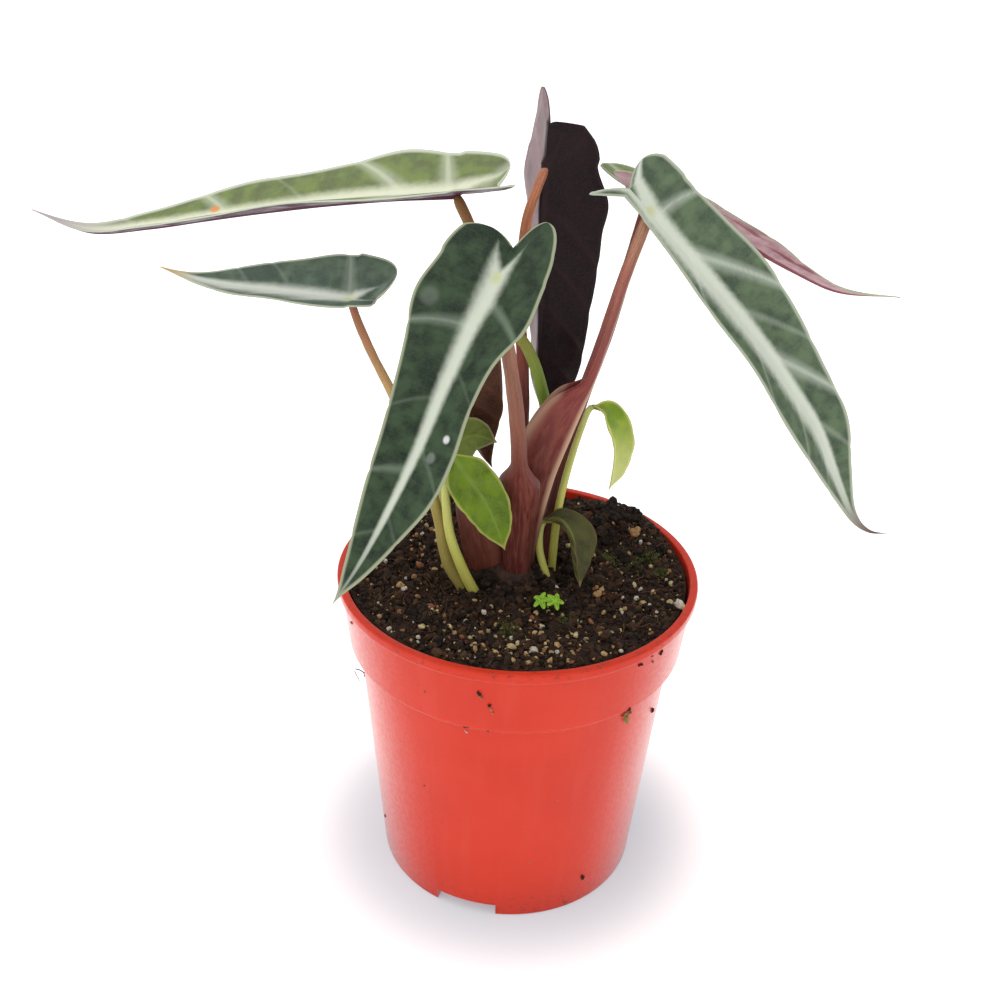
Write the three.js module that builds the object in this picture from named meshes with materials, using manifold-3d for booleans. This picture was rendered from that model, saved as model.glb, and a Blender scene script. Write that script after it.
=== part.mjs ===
// A small arrow-leaved alocasia in its 9 cm plastic nursery pot.
// Millimetres, +Z up. Every piece is placed from the middle of the pot's underside, and the last
// lines move the whole plant so that the origin is below the middle of its box, on the surface it
// stands on. -Y is the side that the front leaf hangs over.

import * as THREE from 'three';
import { mergeVertices } from 'three/addons/utils/BufferGeometryUtils.js';
import Module from 'manifold-3d';

const wasm = await Module();
wasm.setup();

// Driving dimensions

const potHeight = 85;
const rimRadius = 45;
const lipHeight = 2.4;
const lipRound = 0.5;
const collarHeight = 18;
const collarTopRadius = 43.9;
const collarFootRadius = 42.2;
const shoulderHeight = 2.5;
const bodyTopRadius = 39.6;
const baseRadius = 33.65;
const footWidth = 2.1;
const potWall = 1.5;
const floorLift = 3.5;
const footNotch = { width: 16, height: 3.5, count: 3, firstAngle: 253 };
const drainHole = { radius: 3.5, ring: 22, count: 6, firstAngle: 11.5 };
const potSides = 48;

const soilLevel = 83.8;
const soilRadius = 41.7;
const soilSides = 36;
const soilRings = 9;
const mound = { x: 24, y: 22, height: 4.6, spread: 190 };
const dip = { x: 8, y: 38, height: -1.2, spread: 120 };
const grains = { count: 34, innerReach: 15, outerReach: 38.5, radius: 0.9, extra: 0.7 };
const clods = { count: 9, x: 24, y: 19, across: 20, deep: 16, radius: 1.6, extra: 1.2 };

const cormRadius = 8.5;
const cormFoot = 60;
const cormTop = 88;
const cormPlace = [-1.2, -3.6];
const seedlingPlace = [7.6, -17.5, 87];

const gap = 0.3;
const bladeThickness = 0.8;
const smallBladeThickness = 0.7;

// Small helpers for numbers, curves and directions

const toRadians = Math.PI / 180;

function vector(list) {
  return new THREE.Vector3(list[0], list[1], list[2]);
}

function mix(a, b, t) {
  return a + (b - a) * t;
}

function smooth(t) {
  const c = Math.min(1, Math.max(0, t));
  return c * c * (3 - 2 * c);
}

// A seeded draw, so that every grain lies in the same place each time

function seededDraw(seed) {
  let state = seed;
  return () => {
    state = (state * 1664525 + 1013904223) % 4294967296;
    return state / 4294967296;
  };
}

// A smooth value through evenly spaced stations, for widths along a leaf

function alongStations(values, q) {
  const last = values.length - 1;
  if (q >= 1) {
    return values[last];
  }
  const place = Math.max(0, q) * last;
  const i = Math.floor(place);
  const t = place - i;
  const a = values[Math.max(0, i - 1)];
  const b = values[i];
  const c = values[i + 1];
  const d = values[Math.min(last, i + 2)];
  const cubic = (-a + 3 * b - 3 * c + d) * t * t * t;
  const square = (2 * a - 5 * b + 4 * c - d) * t * t;
  return 0.5 * (2 * b + (c - a) * t + square + cubic);
}

// Closed geometry from a list of points and faces, with alike points joined and empty faces dropped

function closedGeometry(points, faces) {
  const raw = new THREE.BufferGeometry();
  raw.setAttribute('position', new THREE.Float32BufferAttribute(points.flat(), 3));
  raw.setIndex(faces.flat());
  return welded(raw);
}

function welded(geometry) {
  const bare = geometry.clone();
  bare.deleteAttribute('normal');
  bare.deleteAttribute('uv');
  const joined = mergeVertices(bare, 1e-4);
  const index = joined.getIndex().array;
  const kept = [];
  for (let i = 0; i < index.length; i += 3) {
    const [a, b, c] = [index[i], index[i + 1], index[i + 2]];
    if (a !== b && b !== c && c !== a) {
      kept.push(a, b, c);
    }
  }
  joined.setIndex(kept);
  return joined;
}

// A closed profile of radius and height, turned round the upright axis

function turned(profile, sides) {
  const points = profile.map(([radius, height]) => new THREE.Vector2(radius, height));
  const geometry = welded(new THREE.LatheGeometry(points, sides));
  geometry.rotateX(Math.PI / 2);
  return geometry;
}

// To and from the solid form that is joined and cut

function solidOf(geometry) {
  const joined = welded(geometry);
  return new wasm.Manifold(new wasm.Mesh({
    numProp: 3,
    vertProperties: new Float32Array(joined.getAttribute('position').array),
    triVerts: new Uint32Array(joined.getIndex().array),
  }));
}

function geometryOf(solid) {
  const mesh = solid.getMesh();
  const geometry = new THREE.BufferGeometry();
  geometry.setAttribute('position', new THREE.BufferAttribute(mesh.vertProperties, 3));
  geometry.setIndex(new THREE.BufferAttribute(mesh.triVerts, 1));
  return geometry;
}

function largestBody(solid) {
  const bodies = solid.decompose();
  return bodies.reduce((best, body) => (body.volume() > best.volume() ? body : best));
}

// Cuts a piece clear of its neighbours, which come a little larger than they are

function clearOf(solid, neighbours) {
  let result = solid;
  for (const neighbour of neighbours) {
    if (result.intersect(neighbour).volume() > 0) {
      result = largestBody(result.subtract(neighbour));
    }
  }
  return result;
}

// Leaf blade

// A blade runs from its stalk (q = 0) to its tip (q = 1). Behind the stalk are two lobes, which are
// one with each other up to the sinus and may splay outwards beyond it. Each half rises from the
// midrib by its own fold angle.

const lobeRows = [0, 0.05, 0.2, 0.45, 0.75, 1];
const bodyRows = [0.06, 0.13, 0.2, 0.28, 0.36, 0.44, 0.52, 0.6, 0.68, 0.76, 0.83, 0.89, 0.94, 0.975, 1];
const smallRows = [0.12, 0.26, 0.4, 0.54, 0.68, 0.82, 0.93, 1];

function spineOf(leaf) {
  const curve = new THREE.CatmullRomCurve3(leaf.spine.map(vector), false, 'catmullrom', 0.5);
  curve.arcLengthDivisions = 200;
  return curve;
}

function bladeFrame(leaf, curve, q, hand) {
  const along = Math.min(1, Math.max(0, q));
  const tangent = curve.getTangentAt(along);
  const facing = vector(leaf.faceBase).lerp(vector(leaf.faceTip), smooth(along));
  const normal = facing.addScaledVector(tangent, -facing.dot(tangent)).normalize();
  const side = new THREE.Vector3().crossVectors(tangent, normal);
  const origin = curve.getPointAt(along);
  let aside = 0;
  if (q < 0) {
    const root = leaf.lobe * leaf.sinus;
    const free = Math.max(0, -q - root) * leaf.lobeStretch[hand > 0 ? 0 : 1];
    const back = Math.min(-q, root) + free;
    origin.addScaledVector(tangent, -back * curve.getLength());
    origin.addScaledVector(normal, leaf.lobeRise * (q / leaf.lobe) ** 2);
    aside = leaf.lobeSplay[hand > 0 ? 0 : 1] * free * curve.getLength();
  }
  return { origin, normal, side, aside };
}

function bladeEdges(leaf, q, hand) {
  const widths = hand > 0 ? leaf.right : leaf.left;
  const shoulder = widths[0];
  if (q >= 0) {
    return [0, alongStations(widths, q)];
  }
  const spread = leaf.lobeSpread[hand > 0 ? 0 : 1] * shoulder;
  const backness = 1 + q / leaf.lobe;
  const outer = spread + (shoulder - spread) * Math.sqrt(Math.max(0, backness * (2 - backness)));
  const slit = backness / (1 - leaf.sinus);
  if (slit >= 1) {
    return [0, outer];
  }
  const round = Math.sqrt(Math.max(0, slit * (2 - slit)));
  return [spread * (1 - 0.6 * round - 0.4 * slit), outer];
}

function bladePoint(leaf, curve, q, hand, v) {
  const { origin, normal, side, aside } = bladeFrame(leaf, curve, q, hand);
  const [inner, outer] = bladeEdges(leaf, q, hand);
  const across = mix(inner, outer, v) + aside;
  const folds = hand > 0 ? leaf.foldRight : leaf.foldLeft;
  const fold = mix(folds[0], folds[1], smooth(q)) * toRadians;
  const reach = across / Math.max(...leaf.right, ...leaf.left);
  const ripple = Math.sin(2 * Math.PI * (leaf.waves * q + (hand > 0 ? 0 : 0.35)) + leaf.wavePhase);
  const rise = leaf.wave * ripple * reach * reach * smooth(q * 6 + 1) - leaf.curl * reach * reach;
  const outward = side.clone().multiplyScalar(hand * Math.cos(fold)).addScaledVector(normal, Math.sin(fold));
  const halfNormal = normal.clone().multiplyScalar(Math.cos(fold));
  halfNormal.addScaledVector(side, -hand * Math.sin(fold));
  const point = origin.addScaledVector(outward, across).addScaledVector(halfNormal, rise);
  const meanFold = (mix(leaf.foldRight[0], leaf.foldRight[1], smooth(q))
    + mix(leaf.foldLeft[0], leaf.foldLeft[1], smooth(q))) / 2;
  const mitre = normal.clone().divideScalar(Math.cos(meanFold * toRadians));
  return { point, under: across > 1e-6 ? halfNormal : mitre };
}

function bladeRowsOf(leaf) {
  const back = leaf.lobe > 0 ? lobeRows.map((r) => -leaf.lobe * (1 - r * (1 - leaf.sinus))) : [];
  const front = leaf.lobe > 0 && leaf.sinus > 0 ? [-leaf.lobe * leaf.sinus * 0.45, 0] : [0];
  return [...back, ...front, ...(leaf.small ? smallRows : bodyRows)];
}

function bladeGeometry(leaf, grow = 0) {
  const curve = spineOf(leaf);
  const rows = bladeRowsOf(leaf);
  const columns = leaf.small ? 2 : 3;
  const thickness = leaf.small ? smallBladeThickness : bladeThickness;
  const points = [];
  const faces = [];
  for (const hand of [1, -1]) {
    const start = points.length;
    rows.forEach((q) => {
      for (let j = 0; j <= columns; j += 1) {
        const { point, under } = bladePoint(leaf, curve, q, hand, j / columns);
        const above = point.clone().addScaledVector(under, grow);
        const below = point.clone().addScaledVector(under, -thickness - grow);
        points.push(above.toArray(), below.toArray());
      }
    });
    const top = (i, j) => start + 2 * (i * (columns + 1) + j);
    const low = (i, j) => top(i, j) + 1;
    const add = (a, b, c) => faces.push(hand > 0 ? [a, b, c] : [a, c, b]);
    for (let i = 0; i < rows.length - 1; i += 1) {
      for (let j = 0; j < columns; j += 1) {
        add(top(i, j), top(i, j + 1), top(i + 1, j));
        add(top(i, j + 1), top(i + 1, j + 1), top(i + 1, j));
        add(low(i, j), low(i + 1, j), low(i, j + 1));
        add(low(i, j + 1), low(i + 1, j), low(i + 1, j + 1));
      }
      add(top(i, columns), low(i, columns), top(i + 1, columns));
      add(low(i, columns), low(i + 1, columns), top(i + 1, columns));
      const parted = rows[i + 1] <= -leaf.lobe * leaf.sinus + 1e-9 && rows[i] < 0;
      if (parted) {
        add(top(i, 0), top(i + 1, 0), low(i, 0));
        add(low(i, 0), top(i + 1, 0), low(i + 1, 0));
      }
    }
  }
  return closedGeometry(points, faces);
}

// Leaf stalk

// A stalk is round above and opens below into a sheath, a trough whose back is the stalk's rib.
// Its wings are given by a depth and a half width at even steps up to where they end.

const ribPoints = 7;
const stalkSides = 14;
const wingThickness = 1;
const sheathBlend = 0.1;
const sheathOpening = 100 * toRadians;

function sheathRing(stalk, u, grow) {
  const radius = mix(stalk.base, stalk.tip, u) + grow;
  if (!stalk.sheath) {
    const ring = [];
    for (let k = 0; k < stalk.sides; k += 1) {
      const angle = (2 * Math.PI * k) / stalk.sides;
      ring.push([radius * Math.cos(angle), radius * Math.sin(angle)]);
    }
    return ring;
  }
  const { end, depth, width } = stalk.sheath;
  const share = 1 - smooth((u - end + sheathBlend) / sheathBlend);
  const deep = Math.max(radius, alongStations(depth, u / end) + grow);
  const wide = Math.max(radius, alongStations(width, u / end) + grow);
  const opening = sheathOpening + grow / Math.min(deep, wide);
  const ring = [];
  for (let k = 0; k < stalkSides; k += 1) {
    const outside = k < ribPoints;
    const inner = k - ribPoints;
    const roundAngle = outside
      ? -Math.PI / 2 + (k * Math.PI) / (ribPoints - 1)
      : Math.PI / 2 + ((inner + 1) * Math.PI) / (ribPoints + 1);
    const step = (2 * opening) / (ribPoints - 1);
    const wingAngle = outside ? -opening + k * step : opening - inner * step;
    const rib = Math.cos(wingAngle / 2) ** 8;
    const wall = outside ? 0 : mix(wingThickness, 2 * radius, rib) + 2 * grow;
    const flank = outside ? 0 : wingThickness + 2 * grow;
    const trough = [
      radius - deep + (deep - wall) * Math.cos(wingAngle),
      (wide - flank) * Math.sin(wingAngle),
    ];
    ring.push([
      mix(radius * Math.cos(roundAngle), trough[0], share),
      mix(radius * Math.sin(roundAngle), trough[1], share),
    ]);
  }
  return ring;
}

function stalkGeometry(stalk, grow = 0) {
  const curve = new THREE.CatmullRomCurve3(stalk.path.map(vector), false, 'catmullrom', 0.5);
  curve.arcLengthDivisions = 200;
  const points = [];
  const faces = [];
  const { rings } = stalk;
  const sides = stalk.sheath ? stalkSides : stalk.sides;
  for (let i = 0; i <= rings; i += 1) {
    const u = i / rings;
    const centre = curve.getPointAt(u);
    const tangent = curve.getTangentAt(u);
    const back = vector(stalk.outward);
    back.addScaledVector(tangent, -back.dot(tangent)).normalize();
    const across = new THREE.Vector3().crossVectors(tangent, back);
    for (const [a, b] of sheathRing(stalk, u, grow)) {
      points.push(centre.clone().addScaledVector(back, a).addScaledVector(across, b).toArray());
    }
  }
  for (let i = 0; i < rings; i += 1) {
    for (let k = 0; k < sides; k += 1) {
      const a = i * sides + k;
      const b = i * sides + ((k + 1) % sides);
      faces.push([a, b, b + sides], [a, b + sides, a + sides]);
    }
  }
  for (const end of [0, 1]) {
    const outline = sheathRing(stalk, end, grow).map(([a, b]) => new THREE.Vector2(a, b));
    const start = end * rings * sides;
    for (const [a, b, c] of THREE.ShapeUtils.triangulateShape(outline, [])) {
      faces.push(end ? [start + a, start + b, start + c] : [start + a, start + c, start + b]);
    }
  }
  return closedGeometry(points, faces);
}

// Pot

function potSolid() {
  const collarFoot = potHeight - collarHeight;
  const footInner = baseRadius - footWidth;
  const profile = [
    [0, floorLift + potWall],
    [0, floorLift],
    [footInner - lipRound, floorLift],
    [footInner, 0],
    [baseRadius, 0],
    [bodyTopRadius, collarFoot - shoulderHeight],
    [collarFootRadius, collarFoot],
    [collarTopRadius, potHeight - lipHeight - lipRound],
    [rimRadius, potHeight - lipHeight],
    [rimRadius, potHeight - lipRound],
    [rimRadius - lipRound, potHeight],
    [collarTopRadius - potWall + lipRound, potHeight],
    [collarTopRadius - potWall, potHeight - 2 * lipHeight],
    [collarFootRadius - potWall, collarFoot],
    [bodyTopRadius - potWall, collarFoot - shoulderHeight],
    [baseRadius - potWall, floorLift + potWall],
    [0, floorLift + potWall],
  ];
  let pot = solidOf(turned(profile, potSides));
  for (let i = 0; i < footNotch.count; i += 1) {
    const angle = (footNotch.firstAngle + (360 / footNotch.count) * i) * toRadians;
    const notch = new THREE.BoxGeometry(4 * footWidth, footNotch.width, 2 * footNotch.height);
    notch.translate(baseRadius - footWidth / 2, 0, 0);
    notch.rotateZ(angle);
    pot = pot.subtract(solidOf(notch));
  }
  for (let i = 0; i < drainHole.count; i += 1) {
    const angle = (drainHole.firstAngle + (360 / drainHole.count) * i) * toRadians;
    const hole = new THREE.CylinderGeometry(drainHole.radius, drainHole.radius, 4 * potWall, 10);
    hole.rotateX(Math.PI / 2);
    hole.translate(drainHole.ring, 0, floorLift);
    hole.rotateZ(angle);
    pot = pot.subtract(solidOf(hole));
  }
  return pot;
}

// Soil

function hump(place, x, y) {
  return place.height * Math.exp(-((x - place.x) ** 2 + (y - place.y) ** 2) / place.spread);
}

function soilHeight(x, y) {
  const fall = 1 - Math.min(1, Math.hypot(x, y) / (soilRadius + 2)) ** 4;
  const lumps = 0.8 * Math.sin(x * 0.31 + 1.3) * Math.cos(y * 0.27) + 0.5 * Math.sin(x * 0.83 + y * 0.61);
  return soilLevel + fall * lumps + hump(mound, x, y) + hump(dip, x, y);
}

// A block of soil that fills the pot, with grains and clods sunk into its top

function soilSolid() {
  const collarFoot = potHeight - collarHeight;
  const floor = floorLift + potWall + gap;
  const profile = [
    [0, floor],
    [baseRadius - potWall - gap, floor],
    [bodyTopRadius - potWall - gap, collarFoot - shoulderHeight],
    [collarFootRadius - potWall - gap, collarFoot],
  ];
  for (let i = soilRings; i >= 0; i -= 1) {
    profile.push([(soilRadius * i) / soilRings, soilLevel]);
  }
  const lathe = turned(profile, soilSides);
  const place = lathe.getAttribute('position');
  for (let i = 0; i < place.count; i += 1) {
    if (place.getZ(i) > soilLevel - 0.1) {
      place.setZ(i, soilHeight(place.getX(i), place.getY(i)));
    }
  }
  let soil = solidOf(lathe);
  const draw = seededDraw(7);
  const addLump = (radius, x, y, lift) => {
    const lump = new THREE.IcosahedronGeometry(radius, 0);
    lump.rotateX(draw() * 3);
    lump.rotateY(draw() * 3);
    lump.scale(1, 0.75 + 0.4 * draw(), 0.8 + 0.2 * draw());
    lump.translate(x, y, soilHeight(x, y) + radius * lift);
    soil = soil.add(solidOf(lump));
  };
  for (let i = 0; i < grains.count; i += 1) {
    const reach = mix(grains.innerReach, grains.outerReach, Math.sqrt(draw()));
    const angle = draw() * 2 * Math.PI;
    addLump(grains.radius + grains.extra * draw(), reach * Math.cos(angle), reach * Math.sin(angle), 0.35);
  }
  for (let i = 0; i < clods.count; i += 1) {
    const x = clods.x + clods.across * (draw() - 0.5);
    const y = clods.y + clods.deep * (draw() - 0.5);
    addLump(clods.radius + clods.extra * draw(), x, y, 0.25);
  }
  return soil;
}

// Corm

function cormSolid(grow = 0) {
  const height = cormTop - cormFoot;
  const profile = [
    [0, 0],
    [2.6, 0],
    [6.2, 0.22],
    [5.8, 0.3],
    [7.8, 0.5],
    [7.4, 0.58],
    [cormRadius, 0.76],
    [8, 0.84],
    [6.4, 0.93],
    [3.5, 0.985],
    [0, 1],
  ];
  const points = profile.map(([r, h], i) => {
    const outward = r > 0 ? grow : 0;
    const lift = i < 2 ? -grow : grow * h;
    return [r + outward, cormFoot + h * height + lift];
  });
  const lathe = turned(points, 18);
  lathe.translate(...cormPlace, 0);
  return solidOf(lathe);
}

// The seven grown leaves. Each spine runs from the stalk to the tip. right and left are half widths
// at even steps along it, seen from above with the tip pointing away.

const leaves = {
  front: {
    spine: [[-6.9, -24, 170.1], [-12.2, -31.2, 160.8], [-16.8, -38.7, 151.5], [-21.2, -44.7, 141],
      [-26.3, -50, 130.4], [-32.2, -54.4, 119.2], [-38.2, -56, 109.2]],
    faceBase: [-0.4, -0.78, 0.5],
    faceTip: [0, -0.8, 0.6],
    right: [13.2, 14.2, 11.6, 9.8, 8.6, 7.3, 5.3, 2.8, 0],
    left: [14.4, 14.2, 10.6, 9.2, 9.2, 8.6, 5.6, 2.6, 0],
    foldRight: [25, 22],
    foldLeft: [25, 22],
    lobe: 0.15,
    sinus: 0.64,
    lobeSpread: [0.43, 0.43],
    lobeRise: 0,
    lobeStretch: [0.45, 1.6],
    lobeSplay: [0, 0],
    curl: 0.6,
    wave: 0.5,
    waves: 2.5,
    wavePhase: 0.4,
    color: '#4f6452',
  },
  right: {
    spine: [[24.7, -8, 180.5], [33.3, -9.6, 172], [41.9, -11.6, 163.6], [50.2, -13.6, 154.8],
      [57.8, -15.6, 145.5], [64.9, -17.5, 136], [70.3, -18, 125.2], [75.9, -17, 114.4],
      [80.6, -16, 109.6], [85.9, -15, 108.4]],
    faceBase: [0.42, -0.78, 0.46],
    faceTip: [0.42, -0.78, 0.46],
    right: [5, 6.8, 9.2, 10.4, 11, 10, 6, 1.7, 0],
    left: [10.5, 11.2, 11.8, 10.4, 8.8, 7.4, 4.2, 1.2, 0],
    foldRight: [40, 30],
    foldLeft: [30, 30],
    lobe: 0.15,
    sinus: 0.45,
    lobeSpread: [0.55, 0.55],
    lobeRise: 0,
    lobeStretch: [0.8, 0.35],
    lobeSplay: [2, 0],
    curl: 0.6,
    wave: 0.5,
    waves: 2.5,
    wavePhase: 1.4,
    color: '#56695a',
  },
  leftUpper: {
    spine: [[-17.8, 10, 177.6], [-32.7, 11.2, 175.9], [-47.5, 13.4, 173.3], [-62.1, 16.2, 170.1],
      [-76.5, 19, 166.6], [-91.1, 20.9, 163.2], [-106, 22, 161.2], [-119.2, 23, 165.2]],
    faceBase: [0, 0, 1],
    faceTip: [0, 0, 1],
    right: [13.4, 14.8, 13, 11.2, 10.3, 7.8, 5, 2.4, 0],
    left: [13, 13, 12.4, 11.4, 10, 7.8, 5.2, 2.4, 0],
    foldRight: [28, 28],
    foldLeft: [17, 17],
    lobe: 0.12,
    sinus: 0.75,
    lobeSpread: [0.5, 0.5],
    lobeRise: 0.8,
    lobeStretch: [0.9, 1.6],
    lobeSplay: [0, 0],
    curl: 0.3,
    wave: 0.6,
    waves: 2.5,
    wavePhase: 0,
    color: '#74876f',
  },
  leftLower: {
    spine: [[-39, -12, 159.6], [-47.3, -11.9, 160.2], [-55.9, -11, 160.5], [-64.4, -10, 160.8],
      [-72.8, -9, 161.7], [-81, -8, 163.8]],
    faceBase: [0, 0, 1],
    faceTip: [0, 0, 1],
    right: [13, 12.4, 11.2, 9.6, 7.8, 5.8, 3.4, 1.3, 0],
    left: [11.4, 11, 10.2, 9, 7.6, 5.8, 3.6, 1.4, 0],
    foldRight: [32, 27],
    foldLeft: [16, 8],
    lobe: 0.22,
    sinus: 0.6,
    lobeSpread: [0.5, 0.5],
    lobeRise: 1.6,
    lobeStretch: [1, 0.2],
    lobeSplay: [0, 0],
    curl: 0.5,
    wave: 0.4,
    waves: 2,
    wavePhase: 0.8,
    color: '#53645a',
  },
  young: {
    spine: [[2.7, 11, 184.8], [2.4, 11.9, 173.9], [2.7, 12.7, 162.9], [3, 13, 151.9],
      [3.3, 13, 140.9], [3.8, 13, 129.9], [5.7, 13, 119.6]],
    faceBase: [0.643, 0.766, 0],
    faceTip: [0.643, 0.766, 0],
    right: [11.6, 14.8, 13.8, 13.3, 12.2, 11.1, 10, 7.2, 0],
    left: [11, 13, 12, 11.2, 11, 11, 11.2, 9.6, 0],
    foldRight: [40, 40],
    foldLeft: [33, 40],
    lobe: 0.17,
    sinus: 0.8,
    lobeSpread: [0.1, 0.64],
    lobeRise: 0,
    lobeStretch: [0.2, 2.6],
    lobeSplay: [0, 0],
    curl: 0.5,
    wave: 0.9,
    waves: 2.2,
    wavePhase: 2,
    color: '#3a2130',
  },
  rightBack: {
    spine: [[26.2, 16, 177.2], [38.5, 20.2, 172.3], [50.8, 24.1, 164.4], [63.4, 27.9, 156.8],
      [76.9, 30.8, 150.4], [91.7, 33, 148.5]],
    faceBase: [0.32, 0.25, 0.91],
    faceTip: [0.32, 0.25, 0.91],
    right: [9, 8, 7.3, 7.3, 6.4, 4.4, 2.6, 1.1, 0],
    left: [9, 8.2, 7.6, 7.6, 6.8, 4.8, 2.8, 1.1, 0],
    foldRight: [30, 30],
    foldLeft: [30, 30],
    lobe: 0.16,
    sinus: 0.5,
    lobeSpread: [0.5, 0.5],
    lobeRise: 0,
    lobeStretch: [1, 1],
    lobeSplay: [0, 0],
    curl: 0.5,
    wave: 0.5,
    waves: 2.5,
    wavePhase: 0.9,
    color: '#7b5663',
  },
  middle: {
    spine: [[-16, 14, 139], [-14.7, 13, 130], [-12.4, 12, 119.8], [-9.7, 11, 112.2],
      [-7.4, 11, 107.5]],
    faceBase: [0.5, 0.86, 0],
    faceTip: [0.5, 0.86, 0],
    right: [9.5, 9.5, 9.4, 9, 8.5, 7, 4.6, 2.2, 0],
    left: [9.5, 9.5, 9.4, 9, 8.5, 7, 4.6, 2.2, 0],
    foldRight: [30, 30],
    foldLeft: [30, 30],
    lobe: 0.2,
    sinus: 0.6,
    lobeSpread: [0.5, 0.5],
    lobeRise: 0,
    lobeStretch: [1, 1],
    lobeSplay: [0, 0],
    curl: 0.4,
    wave: 0.4,
    waves: 2,
    wavePhase: 0.2,
    color: '#4b2f33',
  },
};

// Their stalks, from the corm to just under the blade

const stalks = {
  front: {
    path: [[-0.6, -4, 77], [-0.4, -4.3, 84.7], [-0.7, -5, 101.9], [-0.8, -8, 113.2], [-1, -12, 125.8],
      [-2.8, -18, 143.6], [-5.7, -23, 162.9], [-6.9, -24, 170.1]],
    base: 2.4,
    tip: 1.4,
    outward: [-0.1, -1, 0.1],
    sheath: { end: 0.46, depth: [2.8, 3.4, 3.8, 3.4], width: [3.4, 3.6, 4.8, 5.4] },
    rings: 14,
    color: '#8d4c48',
  },
  right: {
    path: [[1.6, 0, 77], [2, 0, 84.6], [3.2, -0.4, 96.9], [6, -1.6, 111.6], [10.1, -3, 125.7],
      [13.9, -4, 137.9], [16.9, -5, 149.4], [20.4, -7, 165], [24.6, -8, 180.2]],
    base: 2,
    tip: 1.3,
    outward: [1, -0.25, 0],
    sheath: { end: 0.64, depth: [2.6, 4, 7, 9.5, 7.5, 2], width: [2.6, 3, 3.8, 3.8, 3.2, 2] },
    rings: 14,
    color: '#8a4348',
  },
  leftUpper: {
    path: [[2.2, 4.8, 77], [2.6, 5, 85.7], [4.2, 5.6, 100], [5.4, 5.4, 112], [5.4, 4.2, 124],
      [3.5, 2.4, 134.6], [0.1, 1.6, 143.6], [-3.3, 2, 148.6], [-8.7, 4.4, 158.9], [-14.1, 8, 170.4],
      [-17.8, 10, 177.4]],
    base: 1.7,
    tip: 1.2,
    outward: [0, -1, 0],
    sides: 9,
    rings: 14,
    color: '#7f7a3c',
  },
  young: {
    path: [[-2.2, 4, 77], [-2.2, 4, 83.7], [-1.2, 5.6, 102.4], [-0.4, 6.6, 118.5],
      [-0.7, 7.2, 133.9], [-2.2, 7.8, 153.6], [-1.7, 8.4, 170.1], [0.5, 9.2, 179],
      [2.7, 10.4, 184.6]],
    base: 1.9,
    tip: 1.3,
    outward: [0, -1, 0],
    sides: 9,
    rings: 14,
    color: '#7a3f38',
  },
  rightBack: {
    path: [[5.6, 4.4, 77], [6, 5, 83.9], [8, 7.4, 98.1], [10.4, 10, 111.3], [13.8, 12, 126.5],
      [19.2, 14, 144.6], [24.2, 16, 167], [26.2, 16, 177]],
    base: 1.9,
    tip: 1.2,
    outward: [1, 0, 0],
    sides: 9,
    rings: 12,
    color: '#884a48',
  },
  middle: {
    path: [[-6.6, -0.8, 77], [-7.6, -0.8, 82.7], [-9.6, 0.6, 92.2], [-12.6, 3.6, 101.7],
      [-16, 7, 109.8], [-17.7, 9, 118.3], [-17.8, 11, 128.2], [-16, 13.4, 139.2]],
    base: 1.9,
    tip: 1.1,
    outward: [-0.35, -1, 0.2],
    sheath: { end: 0.5, depth: [2.6, 3, 3, 2.2], width: [3.6, 5.6, 5.2, 2.6] },
    rings: 12,
    color: '#8c4b4c',
  },
  leftLower: {
    path: [[-12.4, -8.6, 77], [-13.2, -8.8, 83.7], [-17.1, -8.4, 91.5], [-19.9, -8, 105.4],
      [-22.7, -9, 116.6], [-27.3, -10, 129.9], [-35.9, -12, 150.6], [-39, -12, 159.5]],
    base: 1.6,
    tip: 0.9,
    outward: [0, -1, 0],
    sides: 9,
    rings: 12,
    color: '#9a8c55',
  },
};

// The four young leaves at the foot of the plant, each one piece with its thin stem

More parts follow.
